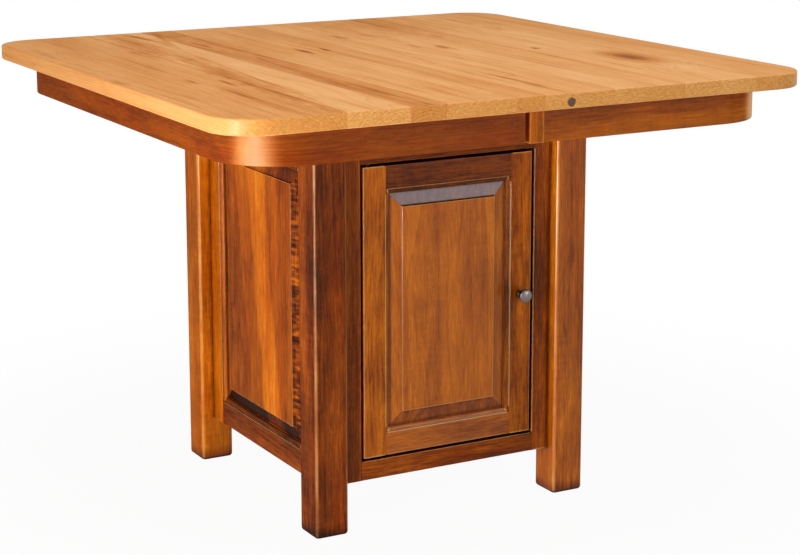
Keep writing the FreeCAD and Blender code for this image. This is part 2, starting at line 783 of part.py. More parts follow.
def make_rack(name, x_sign, y_sign, y_middle):
    """Steel rack let into the rail of one half, in mesh with the pinion at rest."""
    module = size("gear_module")
    pitch = math.pi * module
    root = pitch_line() + DEDENDUM_SHARE * module
    tips = pitch_line() - ADDENDUM_SHARE * module
    back = root + size("rack_back")
    before = math.floor(size("rack_spare") / pitch)
    count = before + math.floor((size("slide_travel") + size("rack_spare")) / pitch)
    shift = pitch / 2 if y_sign < 0 and PINION_TEETH % 2 else 0
    face = Part.Face(rack_profile(shift - before * pitch, count, root, tips, back))
    rack = doc.addObject("Part::Feature", name)
    rack.Shape = face.extrude(FreeCAD.Vector(0, 0, size("rack_height")))
    if x_sign == y_sign:
        turn = FreeCAD.Rotation(AXES["Z"], 0 if y_sign > 0 else 180)
        rise = 0
    else:
        turn = FreeCAD.Rotation(AXES["X"], 180) if y_sign < 0 else FreeCAD.Rotation(AXES["Y"], 180)
        rise = size("rack_height")
    low = base_level() + size("gear_rise") + (size("gear_thickness") - size("rack_height")) / 2
    rack.Placement = FreeCAD.Placement(FreeCAD.Vector(0, y_middle, low + rise), turn)
    return rack


def make_slides(half, x_sign):
    """Rails, racks and screws under one half of the top."""
    rails = []
    racks = []
    screws = []
    rail_low = f"({base_height} + slide_bottom_gap)"
    rail_height = f"({under_top} - {rail_low})"
    rack_low = f"{gear_low} + (gear_thickness - rack_height) / 2"
    start = f"-{slide_outer}" if x_sign < 0 else f"-{slide_inner}"
    tongue = f"({slide_side} - tongue_depth)"
    tongue_reach = "(tongue_depth + overrun)"
    open_side = f"({slide_side} - overrun)"
    seat_reach = f"({rack_depth} + overrun)"
    tip = f"({under_top} + screw_bite)"
    head_end = f"({rail_low} + slide_screw_sink)"
    for end, y_place in (("front", -1), ("back", 1)):
        y_sign = x_sign * y_place
        middle = f"({y_place} * {slide_line})"

        def layer(near, thickness):
            return f"{middle} + {near}" if y_sign > 0 else f"{middle} - {near} - {thickness}"

        rail = doc.addObject("PartDesign::Body", f"{half}_{end}_rail")
        add_box(rail, "blank", (start, layer(slide_side, "slide_width"), rail_low),
                (slide_length, "slide_width", rail_height))
        add_box(rail, "tongue", (start, layer(tongue, tongue_reach), f"{base_height} + tongue_rise"),
                (slide_length, tongue_reach, "tongue_height"))
        cut_box(rail, "rack_seat", (f"{start} - overrun", layer(open_side, seat_reach), rack_low),
                (f"{slide_length} + 2 * overrun", seat_reach, "rack_height"))
        screw_line = layer(f"({slide_side} + slide_width - slide_screw_from_back)", "0")
        y = f"({screw_line})"
        for share in SLIDE_SCREW_SHARES:
            x = f"({x_sign} * ({slide_outer} - {share} * {slide_length}))"
            screws.append(make_screw("slide_screw", x, y, tip, head_end, True))
            cut_screw_hole(rail, x, y, head_end, f"({under_top} + overrun)")
            cut_head_hole(rail, x, y, f"{rail_low} - overrun", head_end)
            cut_screw_hole(tops[half], x, y, f"{under_top} - overrun", f"({tip} + screw_room)")
        rails.append(rail)
        racks.append(make_rack(f"{half}_{end}_rack", -x_sign, y_sign, y_place * slide_distance()))
    group(f"{half}_slide_rails", rails)
    group(f"{half}_slide_racks", racks)
    group(f"{half}_slide_screws", screws)


def make_pinion(label, y_place):
    """Spur gear with involute teeth on a vertical pin."""
    module = size("gear_module")
    pitch_radius = pitch_line()
    base_radius = pitch_radius * math.cos(PRESSURE_ANGLE)
    root_radius = pitch_radius - DEDENDUM_SHARE * module
    tip_radius = pitch_radius + ADDENDUM_SHARE * module
    half_tooth = math.pi / (2 * PINION_TEETH) - size("gear_backlash") / (2 * pitch_radius)
    involute_at_pitch = math.tan(PRESSURE_ANGLE) - PRESSURE_ANGLE
    flank = [(root_radius, half_tooth + involute_at_pitch)]
    first = max(base_radius, root_radius)
    for step in range(FLANK_STEPS + 1):
        radius = first + (tip_radius - first) * step / FLANK_STEPS
        pressure = math.acos(min(1.0, base_radius / radius))
        flank.append((radius, half_tooth + involute_at_pitch - (math.tan(pressure) - pressure)))
    points = []
    for tooth in range(PINION_TEETH):
        middle = math.pi / 2 + 2 * math.pi * tooth / PINION_TEETH
        sides = [(radius, middle - angle) for radius, angle in flank]
        sides += [(radius, middle + angle) for radius, angle in reversed(flank)]
        points += [FreeCAD.Vector(r * math.cos(a), r * math.sin(a), 0) for r, a in sides]
    blank = Part.Face(Part.makePolygon(points + points[:1]))
    thickness = size("gear_thickness")
    gear = blank.extrude(FreeCAD.Vector(0, 0, thickness))
    bore = Part.makeCylinder(size("pinion_pin_radius") + size("running_clearance"), thickness)
    pinion = doc.addObject("Part::Feature", label)
    pinion.Shape = gear.cut(bore)
    low = base_level() + size("gear_rise")
    place = FreeCAD.Vector(0, y_place * slide_distance(), low)
    pinion.Placement = FreeCAD.Placement(place, FreeCAD.Rotation())
    subpart(pinion, label)


# Halves of the top and their aprons
def make_top(half, x_sign):
    """Half of the top, with rounded outer corners, eased edges and holes for the pins at the seam."""
    top = new_body(f"{half}_top_half")
    width = f"({top_half} - {seam})"
    corner = (outward(x_sign, seam, width), f"-{top_half}", under_top)
    add_box(top, "blank", corner, (width, "top_size", "top_thickness"))
    outer = "XMin" if x_sign < 0 else "XMax"
    inner = "XMax" if x_sign < 0 else "XMin"

    def at_corner(at, box, near):
        return near(at.x, getattr(box, outer))

    def on_rim(at, box, near):
        level = near(at.z, box.ZMax) or near(at.z, box.ZMin)
        return level and not near(at.x, getattr(box, inner))

    round_edges(top, "corners", "Z", at_corner, "top_corner_radius")
    round_edges(top, "eased_edges", None, on_rim, "top_ease")
    hole = "align_pin_bite" if x_sign < 0 else "(align_pin_reach + align_pin_end_room)"
    radius = "align_pin_radius + screw_room" if x_sign < 0 else "align_pin_radius + align_pin_room"
    low = f"-{seam} - {hole}" if x_sign < 0 else f"{seam} - overrun"
    for place in (-1, 0, 1):
        start = (low, f"{place} * align_pin_spacing", mid_top)
        cut_cylinder(top, "pin_hole", start, "X", radius, f"{hole} + overrun")
    return top


def make_apron(half, x_sign, inner):
    """Apron in one bent piece, open at the seam."""
    apron = new_body(f"{half}_apron")
    length = f"({apron_face} - {inner})"
    add_box(apron, "blank", (outward(x_sign, inner, length), f"-{apron_face}", apron_bottom),
            (length, f"2 * {apron_face}", "apron_height"))
    hollow = f"({apron_inside} - {inner} + overrun)"
    side = f"-{apron_inside}" if x_sign < 0 else f"{inner} - overrun"
    cut_box(apron, "hollow", (side, f"-{apron_inside}", f"{apron_bottom} - overrun"),
            (hollow, f"2 * {apron_inside}", "apron_height + 2 * overrun"))
    outer = "XMin" if x_sign < 0 else "XMax"
    open_end = "XMax" if x_sign < 0 else "XMin"

    def at_outer_corner(at, box, near):
        return near(at.x, getattr(box, outer))

    def on_lower_edge(at, box, near):
        return near(at.z, box.ZMin) and not near(at.x, getattr(box, open_end))

    round_edges(apron, "outer_corners", "Z", at_outer_corner, "apron_corner_radius")
    round_edges(apron, "inner_corners", "Z", at_inner_corner, "apron_corner_radius - apron_thickness")
    round_edges(apron, "lower_edge", None, on_lower_edge, "apron_ease")


def at_inner_corner(at, box, near):
    """Tell the inner corners of an apron from its other upright edges."""
    side = min(at.y - box.YMin, box.YMax - at.y)
    end = min(at.x - box.XMin, box.XMax - at.x)
    return near(side, size("apron_thickness")) and near(end, size("apron_thickness"))


def make_end_blocks():
    """Blocks that close the front and back ends of the right apron at the seam."""
    blocks = []

    def on_arris(at, box, near):
        return near(at.x, box.XMin) and near(abs(at.y), max(abs(box.YMin), abs(box.YMax)))

    for y_sign in (-1, 1):
        low = outward(y_sign, f"({apron_face} - end_block_depth)", "end_block_depth")
        block = doc.addObject("PartDesign::Body", "end_block")
        extent = ("end_block_width", "end_block_depth", "apron_height")
        add_box(block, "blank", (seam, low, apron_bottom), extent)
        round_edges(block, "arris", "Z", on_arris, "apron_ease")
        blocks.append(block)
    group("right_apron_end_blocks", blocks)


def make_alignment_pins():
    """Pins in the seam edge of the left half."""
    pins = []
    for place in (-1, 0, 1):
        start = (f"-{seam} - align_pin_bite", f"{place} * align_pin_spacing", mid_top)
        length = "align_pin_bite + seam_gap + align_pin_reach"
        pins.append(part_cylinder("alignment_pin", start, "X", "align_pin_radius", length))
    group("alignment_pins", pins)


tops = {"left": make_top("left", -1), "right": make_top("right", 1)}
make_apron("left", -1, "apron_setback")
make_apron("right", 1, f"({seam} + end_block_width)")
make_end_blocks()
make_alignment_pins()
make_center_slides()
make_slides("left", -1)
make_slides("right", 1)
make_pinion("front_pinion", -1)
make_pinion("back_pinion", 1)


# Lock that holds the halves together under the seam
def make_lock():
    """Plate and stud under the left half, a lever that turns on the stud, and a pin under the right half."""
    pivot = "(-lock_setback)"
    plate = new_body("table_lock_plate")
    plate_low = f"({under_top} - lock_plate_thickness)"
    add_box(plate, "plate", (f"{pivot} - lock_plate_length / 2", "-lock_plate_width / 2", plate_low),
            ("lock_plate_length", "lock_plate_width", "lock_plate_thickness"))
    stud = "(lever_thickness + 2 * lock_play)"
    add_cylinder(plate, "stud", (pivot, "0", plate_low), "-Z", "lock_stud_radius", stud)
    add_cylinder(plate, "stud_head", (pivot, "0", f"{plate_low} - {stud}"), "-Z", "lock_stud_head_radius",
                 "lock_stud_head")

    lever = new_body("table_lock_lever")
    add_box(lever, "bar", (f"{pivot} - lever_width / 2", "-lever_tail", lever_bottom),
            ("lever_width", f"lever_tail + {lever_end}", "lever_thickness"))
    round_edges(lever, "ends", "Z", lambda at, box, near: True, "lever_width / 4")
    below = f"{lever_bottom} - overrun"
    through = "lever_thickness + 2 * overrun"
    bore_radius = "lock_stud_radius + running_clearance"
    cut_cylinder(lever, "bore", (pivot, "0", below), "Z", bore_radius, through)
    cut_box(lever, "hook", (f"{pivot} - {keeper_notch}", f"lock_reach - {keeper_notch}", below),
            (f"{keeper_notch} + lever_width / 2 + overrun", f"2 * {keeper_notch}", through))

    keeper = new_body("table_lock_keeper")
    add_box(keeper, "plate", (f"{keeper_reach} - keeper_length / 2", "-lock_plate_width / 2", plate_low),
            ("keeper_length", "lock_plate_width", "lock_plate_thickness"))
    add_cylinder(keeper, "pin", (keeper_reach, "0", plate_low), "-Z", "keeper_pin_radius", stud)


make_lock()


# Check every object, then write one file for each sub-part
doc.recompute()
for thing in doc.Objects:
    if "Invalid" in thing.State or "Error" in thing.State:
        raise RuntimeError(f"{thing.Label} failed: {thing.State}")
for thing in SUBPARTS:
    if thing.Shape.isNull() or not thing.Shape.isValid():
        raise RuntimeError(f"{thing.Label} has no valid shape")
os.makedirs("parts", exist_ok=True)
for thing in SUBPARTS:
    thing.Shape.exportStep(f"parts/{thing.Label}.step")
print(f"{len(SUBPARTS)} sub-parts written")
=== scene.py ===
import math
from typing import NamedTuple

import bmesh
import bpy
from bpy.props import FloatProperty, FloatVectorProperty, PointerProperty
from mathutils import Matrix, Vector


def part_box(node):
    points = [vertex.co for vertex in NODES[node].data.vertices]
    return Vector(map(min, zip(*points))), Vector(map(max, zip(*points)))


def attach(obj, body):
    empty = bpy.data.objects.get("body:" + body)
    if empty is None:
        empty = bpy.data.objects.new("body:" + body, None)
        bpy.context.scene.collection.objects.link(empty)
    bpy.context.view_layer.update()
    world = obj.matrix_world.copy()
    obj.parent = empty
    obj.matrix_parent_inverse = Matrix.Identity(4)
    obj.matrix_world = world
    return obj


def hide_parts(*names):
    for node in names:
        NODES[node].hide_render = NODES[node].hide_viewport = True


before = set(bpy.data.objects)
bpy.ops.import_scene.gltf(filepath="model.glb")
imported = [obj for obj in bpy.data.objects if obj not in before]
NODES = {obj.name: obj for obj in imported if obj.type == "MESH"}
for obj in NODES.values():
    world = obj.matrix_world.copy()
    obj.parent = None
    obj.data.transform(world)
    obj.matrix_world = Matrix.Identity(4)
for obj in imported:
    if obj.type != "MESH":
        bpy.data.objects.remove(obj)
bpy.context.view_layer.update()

bl_info = {
    "name": "Kitchen Table Finish",
    "version": (1, 0, 0),
    "blender": (4, 5, 0),
    "location": "View3D > Sidebar > Table",
    "description": "Finishes a kitchen table with a storage cabinet and sets up its studio",
    "category": "Object",
}

MM = 0.001

# How far apart two pieces lie in the wood that they are cut from
SEED_STEP = Vector((0.73, 1.31, 2.17))


def srgb(red, green, blue):
    """Colour for a shader from the 0 to 255 values of a colour picker."""
    shares = (value / 255 for value in (red, green, blue))
    return tuple(s / 12.92 if s <= 0.04045 else ((s + 0.055) / 1.055) ** 2.4 for s in shares)


def opaque(colour):
    """Colour with full alpha, as node sockets take it."""
    return (*colour[:3], 1.0)


def colour_property(name, description, red, green, blue):
    """Colour that a user can pick."""
    return FloatVectorProperty(name=name, description=description, subtype="COLOR", size=3,
                               min=0.0, max=1.0, default=srgb(red, green, blue))


def share_property(name, description, default):
    """Amount between none and all."""
    return FloatProperty(name=name, description=description, subtype="FACTOR",
                         min=0.0, max=1.0, default=default)


def length_property(name, description, default):
    """Length in metres."""
    return FloatProperty(name=name, description=description, subtype="DISTANCE", unit="LENGTH",
                         default=default)


def level_property(name, description, default, unit="NONE"):
    """Level without an upper limit."""
    return FloatProperty(name=name, description=description, unit=unit, min=0.0, default=default)


def angle_property(name, description, degrees):
    """Angle, written in degrees."""
    return FloatProperty(name=name, description=description, subtype="ANGLE", unit="ROTATION",
                         default=math.radians(degrees))


# Settings
class TopFinish(bpy.types.PropertyGroup):
    """Stained hickory boards of the table top."""

    streak: colour_property("Streak", "Mineral streaks and the dark rim of knots", 132, 74, 42)
    brown: colour_property("Brown", "Heartwood and late wood", 190, 114, 54)
    honey: colour_property("Honey", "Most of the boards", 220, 150, 86)
    pale: colour_property("Pale", "Sapwood", 236, 172, 110)
    bright: colour_property("Bright", "Lightest sapwood", 246, 196, 134)
    knot: colour_property("Knot", "Middle of a knot", 146, 80, 48)
    loose_knot: colour_property("Loose Knot", "Grey middle of the knot in the front edge", 92, 84, 78)
    gold: colour_property("End Grain", "Sawn ends of the boards", 222, 154, 80)
    ring_gap: length_property("Ring Gap", "Distance between growth rings", 4.2 * MM)
    roughness: share_property("Roughness", "Roughness of the wood", 0.55)
    sheen: share_property("Sheen", "Strength of the reflections in the satin lacquer", 0.05)
    sheen_roughness: share_property("Sheen Roughness", "How far the lacquer spreads a reflection", 0.36)


class StainFinish(bpy.types.PropertyGroup):
    """Stained maple of the base and the aprons."""

    black_brown: colour_property("Black Brown", "Darkest stain", 44, 18, 6)
    dark: colour_property("Dark", "Dark stain", 82, 36, 9)
    brown: colour_property("Brown", "Middle of the stain", 126, 59, 11)
    russet: colour_property("Russet", "Stain on most boards", 168, 88, 16)
    amber: colour_property("Amber", "Light figure", 206, 116, 18)
    light: colour_property("Light", "Lightest figure", 232, 150, 44)
    # Painted highlight and rubbing: pale colour of lightened edges and corners
    worn_and_highlight: colour_property("Worn", "Rubbed edges", 228, 187, 112)
    red_tint: colour_property("Red Tint", "Tint of the redder boards", 255, 222, 178)
    ring_gap: length_property("Ring Gap", "Distance between growth rings", 4.6 * MM)
    roughness: share_property("Roughness", "Roughness of the wood", 0.50)
    gloss: share_property("Gloss", "Strength of the reflections in the lacquer", 0.075)
    gloss_index: level_property("Gloss Index", "Refractive index of the lacquer", 1.9)
    gloss_roughness: share_property("Gloss Roughness", "How far the lacquer spreads a reflection", 0.22)
    # Width of the edges painted lighter, partly as rubbing and partly as painted highlight
    edge: length_property("Edge", "Width of the rubbed edges", 2.0 * MM)
    # Painted shade: reach within which corners and recesses are painted darker as nearby surfaces close them
    # in
    corner_shade: length_property("Corner", "Reach of the dark stain that settles in corners", 7.0 * MM)


class InsideFinish(bpy.types.PropertyGroup):
    """Stained veneer of the boards inside the cabinet."""

    dark: colour_property("Late Wood", "Lines of the late wood", 126, 82, 48)
    plain: colour_property("Plain", "Most of the veneer", 172, 122, 78)
    pale: colour_property("Pale", "Light veneer", 190, 142, 96)
    roughness: share_property("Roughness", "Roughness of the flat lacquer", 0.55)
    gloss: share_property("Specular", "Strength of reflections", 0.2)


class SlideFinish(bpy.types.PropertyGroup):
    """Waxed hardwood of the slides and of the pins at the seam."""

    dark: colour_property("Late Wood", "Lines of the late wood", 172, 126, 80)
    plain: colour_property("Plain", "Most of the wood", 206, 166, 120)
    pale: colour_property("Pale", "Light wood", 226, 192, 148)
    roughness: share_property("Roughness", "Roughness of the waxed wood", 0.48)
    gloss: share_property("Specular", "Strength of reflections", 0.3)


class HardwareFinish(bpy.types.PropertyGroup):
    """Metal and plastic fittings."""

    steel: colour_property("Steel", "Plated steel of slides, screws and lock", 176, 174, 168)
    pewter: colour_property("Pewter", "Brushed metal of the knob", 122, 111, 108)
    tarnish: colour_property("Tarnish", "Darker metal in the neck of the knob", 70, 62, 58)
    bronze: colour_property("Bronze", "Dark metal of the hinges", 30, 24, 20)
    catch: colour_property("Catch", "Plastic body of the catch", 96, 60, 38)
    steel_roughness: share_property("Steel Roughness", "Roughness of plated steel", 0.38)
    pewter_roughness: share_property("Knob Roughness", "Roughness of the knob", 0.34)


class Studio(bpy.types.PropertyGroup):
    """Floor, light and camera."""

    floor: colour_property("Floor", "Floor under the table", 206, 205, 203)
    floor_glow: share_property("Floor Glow", "Share of the floor near the table that shows white", 0.95)
    ambient: level_property("Ambient", "Level of the light from all around", 0.32)
    key_power: level_property("Key", "Power of the upright strip lamp at the front left", 17.5, "POWER")
    side_power: level_property("Side", "Power of the large lamp at the left", 9.0, "POWER")
    top_power: level_property("Overhead", "Power of the lamp above", 58.0, "POWER")
    fill_power: level_property("Fill", "Power of the lamp at the front right", 36.0, "POWER")
    camera_place: FloatVectorProperty(name="Camera", description="Place of the camera", subtype="XYZ",
                                      unit="LENGTH", size=3, default=(-1.700, -3.137, 1.226))
    camera_turn: angle_property("Turn", "Direction of view from the front, to the left", -28.46)
    camera_dip: angle_property("Dip", "How far the camera looks down", 11.38)
    camera_roll: angle_property("Roll", "Tilt of the camera", -0.16)
    lens: FloatProperty(name="Lens", description="Focal length on a sensor 36 mm wide",
                        subtype="DISTANCE_CAMERA", default=91.93)
    shift: FloatVectorProperty(name="Shift", description="Shift of the picture, right and up", size=2,
                               default=(0.025, -0.10))


# Short ways to add nodes
def feed(tree, node, inputs):
    """Set each input of a node to a value, or link it to a socket."""
    for key, value in inputs.items():
        if isinstance(value, bpy.types.NodeSocket):
            tree.links.new(value, node.inputs[key])
        else:
            node.inputs[key].default_value = value


def tree_of(*values):
    """Node tree of the first socket among some values."""
    return next(value.id_data for value in values if isinstance(value, bpy.types.NodeSocket))


def add_node(tree, kind, inputs=None, **settings):
    """Add a node with its settings and inputs."""
    made = tree.nodes.new("ShaderNode" + kind)
    for name, value in settings.items():
        setattr(made, name, value)
    feed(tree, made, inputs or {})
    return made


def outputs_of(kind, inputs, **settings):
    """Outputs of a new node; at least one of its inputs is a socket."""
    return add_node(tree_of(*inputs.values()), kind, inputs, **settings).outputs


def place_of(tree):
    """Place on a piece, in metres from the middle of the floor under the table."""
    return add_node(tree, "TexCoord").outputs["Object"]


def facing_of(tree):
    """The three parts of the direction that a surface of a piece faces."""
    return split(add_node(tree, "TexCoord").outputs["Normal"])


def calc(operation, *values):
    """Result of a sum on numbers."""
    return outputs_of("Math", dict(enumerate(values)), operation=operation)[0]


def calc_vector(operation, *values):
    """Result of a sum on vectors."""
    return outputs_of("VectorMath", dict(enumerate(values)), operation=operation)[0]


def length_of(vector):
    """Length of a vector."""
    return outputs_of("VectorMath", {0: vector}, operation="LENGTH")["Value"]


def split(vector):
    """The three parts of a vector."""
    return outputs_of("SeparateXYZ", {0: vector})[:]


def join(*parts):
    """Vector of three parts."""
    return outputs_of("CombineXYZ", dict(enumerate(parts)))[0]


def fade(value, start, end, low=0.0, high=1.0):
    """Smooth step from low at start to high at end."""
    inputs = {"Value": value, "From Min": start, "From Max": end, "To Min": low, "To Max": high}
    return outputs_of("MapRange", inputs, interpolation_type="SMOOTHSTEP")[0]


def sway(total, value, weight):
    """Total plus a weighted noise, which has its middle at a half."""
    return calc("ADD", calc("MULTIPLY_ADD", value, weight, total), -weight / 2)


def weigh(total, values, weights):
    """Total plus some of the values, each times its weight."""
    for label, weight in weights.items():
        total = calc("MULTIPLY_ADD", values[label], weight, total)
    return total


def noise(place, scale, detail=2.0, roughness=0.5):
    """Noise with its own number of waves per metre along each axis."""
    inputs = {"Vector": calc_vector("MULTIPLY", place, scale), "Scale": 1.0, "Detail": detail,
              "Roughness": roughness}
    return outputs_of("TexNoise", inputs)


def line_noise(value, waves, detail):
    """Noise along a line, with a number of waves per metre."""
    inputs = {"W": value, "Scale": waves, "Detail": detail}
    return outputs_of("TexNoise", inputs, noise_dimensions="1D")[0]


def mix_colour(share, first, second, blend="MIX"):
    """Mix of two colours."""
    inputs = {0: share, 6: first, 7: second}
    return outputs_of("Mix", inputs, data_type="RGBA", blend_type=blend)[2]


def ramp(value, stops, steps=False):
    """Colour ramp through (place, colour) stops; returns its colour and alpha."""
    made = add_node(tree_of(value), "ValToRGB", {"Fac": value})
    made.color_ramp.interpolation = "CONSTANT" if steps else "LINEAR"
    elements = made.color_ramp.elements
    elements.remove(elements[1])
    for number, (place, colour) in enumerate(stops):
        element = elements[0] if number == 0 else elements.new(place)
        element.position = place
        element.color = colour if len(colour) == 4 else opaque(colour)
    return made.outputs


def even_stops(*colours):
    """Stops of a ramp at equal distances."""
    return [(number / (len(colours) - 1), colour) for number, colour in enumerate(colours)]


def new_group(name, inputs, outputs):
    """Empty node group; returns it, what it is given and the node that takes its results."""
    tree = bpy.data.node_groups.new(name, "ShaderNodeTree")
    for label, kind in inputs.items():
        tree.interface.new_socket(label, in_out="INPUT", socket_type="NodeSocket" + kind)
    for label, kind in outputs.items():
        tree.interface.new_socket(label, in_out="OUTPUT", socket_type="NodeSocket" + kind)
    return tree, tree.nodes.new("NodeGroupInput").outputs, tree.nodes.new("NodeGroupOutput")


def use_group(tree, group, inputs):
    """Add a node group and return its outputs."""
    return add_node(tree, "Group", inputs, node_tree=group).outputs


def new_material(name):
    """Material with only a surface shader; returns it, its tree and the shader."""
    material = bpy.data.materials.new(name)
    material.use_nodes = True
    tree = material.node_tree
    tree.nodes.clear()
    shader = add_node(tree, "BsdfPrincipled")
    add_node(tree, "OutputMaterial", {"Surface": shader.outputs[0]})
    return material, tree, shader


def relief(height, depth, strength):
    """Normal of a surface with fine relief."""
    inputs = {"Height": height, "Distance": depth, "Strength": strength}
    return outputs_of("Bump", inputs)[0]


def dress(material, *names):
    """Give pieces of the frame a material."""
    for name in names:
        if name not in NODES:
            raise RuntimeError(f"the frame has no piece named {name}")
        slots = NODES[name].data.materials
        slots.clear()
        slots.append(material)


# Wood: noises of its figure, as waves per metre across, through and along the grain, detail and roughness
FIGURE_NOISES = {
    "Fibre": ((360.0, 360.0, 26.0), 4.0, 0.72),
    "Blotch": ((17.0, 17.0, 5.0), 4.0, 0.62),
    "Band": ((24.0, 24.0, 0.9), 2.0, 0.5),
    "Ripple": ((30.0, 30.0, 125.0), 2.0, 0.5),
}
STREAK_NOISE = ((85.0, 85.0, 2.4), 3.0, 0.6)
FLECK_NOISE = ((1300.0, 1300.0, 110.0), 1.0)
CURL_WAVES = (11.0, 11.0, 2.6)
CLEARNESS_WAVES = (26.0, 26.0, 3.0)
DRIFT_WAVES = (7.0, 7.0, 1.1)
# How far the grain drifts, in metres, and how unevenly the rings follow each other
DRIFT = (0.045, 0.045, 0.0)
YEAR_WAVES = 70.0
YEAR_SWAY = 3.0


def wood_figure():
    """Rings, fibres, blotches, cross ripples and flecks; the third axis runs along the grain."""
    found = bpy.data.node_groups.get("wood figure")
    if found:
        return found
    inputs = {"Place": "Vector", "Pith": "Vector", "Ring Gap": "Float", "Swell": "Float"}
    labels = ("Rings", "Fibre", "Blotch", "Band", "Streak", "Ripple", "Curl", "Fleck")
    tree, given, result = new_group("wood figure", inputs, dict.fromkeys(labels, "Float"))
    place = given["Place"]
    bent = calc_vector("MULTIPLY_ADD", noise(place, DRIFT_WAVES)["Color"], DRIFT, place)
    away = calc_vector("SUBTRACT", bent, given["Pith"])
    radius = length_of(calc_vector("MULTIPLY", away, (1.0, 1.0, 0.0)))
    radius = calc("ADD", radius, given["Swell"])
    years = line_noise(radius, YEAR_WAVES, 1.0)
    age = calc("MULTIPLY_ADD", years, YEAR_SWAY, calc("DIVIDE", radius, given["Ring Gap"]))
    season = calc("FRACT", age)
    late_wood = calc("MULTIPLY", calc("POWER", season, 4.0), fade(season, 1.0, 0.94))
    clearness = fade(noise(place, CLEARNESS_WAVES)[0], 0.3, 0.7, 0.25, 1.0)
    feed(tree, result, {"Rings": calc("MULTIPLY", late_wood, clearness),
                        "Streak": fade(noise(bent, *STREAK_NOISE)[0], 0.52, 0.74),
                        "Curl": fade(noise(place, CURL_WAVES)[0], 0.38, 0.62),
                        "Fleck": fade(noise(place, *FLECK_NOISE)[0], 0.60, 0.72)})
    for label, settings in FIGURE_NOISES.items():
        feed(tree, result, {label: noise(bent, *settings)[0]})
    return tree


# How much darker end grain is, as a share of the range of tones
END_STAIN = 0.30


class Stain(NamedTuple):
    """How one piece took the stain: its tone from dark to light, and the weights of its figure and finish.

    above and below darken bevels and ends that face up or down, as end-grain stain and, where raised, as
    painted shade;
    haze spreads the reflections; the weight and reach of the shade in corners are for painted shade in
    corners and under the top; a weight for the edges lifts their painted highlight and rubbing; and left is
    painted light that lightens faces towards the left.
    """

    tone: float
    red: float = 0.25
    band: float = 0.4
    ripple: float = 0.15
    blotch: float = 0.70
    fibre: float = 0.70
    above: float = END_STAIN
    below: float = END_STAIN
    gloss: float = 1.0
    haze: float = 1.0
    corner_shade: float = 1.0
    reach: float = 1.0
    edge_lift: float = 1.0
    left: float = 0.0


# Weights in the tone of the stain, where the weight for edges paints highlight and rubbing and the weight for
# corners paints shade; then the share of pale colour on a fully lightened edge, partly rubbing and partly
# painted highlight
STAIN_MARKS = {"Streak": -0.10, "Rings": -0.16, "Fleck": -0.09}
CURL_TONE = 1.1
EDGE_TONE = 0.40
CORNER_SHADE_TONE = -0.45
PALE_SHARE = 0.75
RED_WAVES = (31.0, 31.0, 6.0)


def stained_maple(finish):
    """Colour, roughness and height of stained maple."""
    found = bpy.data.node_groups.get("stained maple")
    if found:
        return found
    inputs = {"Place": "Vector", "Pith": "Vector"}
    labels = ("Tone", "Red", "Blotch", "Band", "Fibre", "Ripple", "End", "Edge", "Corner")
    inputs.update(dict.fromkeys(labels, "Float"))
    outputs = {"Colour": "Color", "Roughness": "Float", "Height": "Float"}
    tree, given, result = new_group("stained maple", inputs, outputs)
    figure = use_group(tree, wood_figure(), {"Place": given["Place"], "Pith": given["Pith"],
                                              "Ring Gap": finish.ring_gap})
    tone = given["Tone"]
    for label in ("Blotch", "Band", "Fibre"):
        tone = calc("MULTIPLY_ADD", calc("SUBTRACT", figure[label], 0.5), given[label], tone)
    curl = calc("MAXIMUM", figure["Curl"], fade(given["Ripple"], 0.8, 1.2))
    crossed = calc("MULTIPLY", calc("SUBTRACT", figure["Ripple"], 0.5), given["Ripple"])
    tone = calc("MULTIPLY_ADD", crossed, calc("MULTIPLY", curl, CURL_TONE), tone)
    tone = weigh(tone, figure, STAIN_MARKS)
    tone = calc("SUBTRACT", tone, given["End"])
    # Edges lifted as painted highlight and rubbing; corners and recesses lowered as painted shade
    tone = weigh(tone, given, {"Edge": EDGE_TONE, "Corner": CORNER_SHADE_TONE})
    stops = even_stops(finish.black_brown, finish.dark, finish.brown, finish.russet, finish.amber,
                       finish.light)
    colour = ramp(tone, stops)[0]
    cloud = noise(given["Place"], RED_WAVES, detail=3.0)[0]
    red = calc("ADD", given["Red"], fade(cloud, 0.35, 0.7, -0.15, 0.25))
    colour = mix_colour(fade(red, 0.0, 1.0), colour, opaque(finish.red_tint), "MULTIPLY")
    # Lightened edges turn paler, partly as rubbing and partly as painted highlight
    pale_share = calc("MULTIPLY", calc("POWER", given["Edge"], 2.0), PALE_SHARE)
    feed(tree, result, {"Colour": mix_colour(pale_share, colour, opaque(finish.worn_and_highlight)),
                        "Roughness": sway(finish.roughness, figure["Fibre"], 0.16),
                        "Height": weigh(figure["Fibre"], figure, {"Rings": -0.5, "Fleck": -0.4})})
    return tree


def along_grain(tree, grain):
    """Place on a piece with the third axis along its grain, and the share of end grain."""
    x, y, z = split(place_of(tree))
    order = {"X": (z, y, x), "Y": (z, x, y), "Z": (x, y, z)}[grain]
    facing = calc("ABSOLUTE", facing_of(tree)["XYZ".index(grain)])
    # Bevels count partly as end grain; the darkening that this gives them is partly stain and partly painted
    # shade
    bevel = fade(facing, 0.06, 0.16, 0.0, 0.6)
    return join(*order), calc("MAXIMUM", bevel, fade(facing, 0.75, 0.97))


def around_apron(tree, side):
    """Place on a bent apron, with the third axis along its length round the corners."""
    x, y, z = split(place_of(tree))
    run = calc("ADD", calc("MULTIPLY", x, side), calc("ABSOLUTE", y))
    depth = calc("MULTIPLY_ADD", y, 0.06, calc("MULTIPLY", x, 0.04))
    return join(z, depth, run)


def painted_corner_shade(tree, reach):
    """Share of painted shade at a place, which grows as nearby surfaces close it in within the reach."""
    open_share = add_node(tree, "AmbientOcclusion", {"Distance": reach}, samples=2).outputs["AO"]
    return fade(open_share, 0.95, 0.35)


# Reach of the flush line where a rail meets a stile
JOINT_LINE = 2.6 * MM


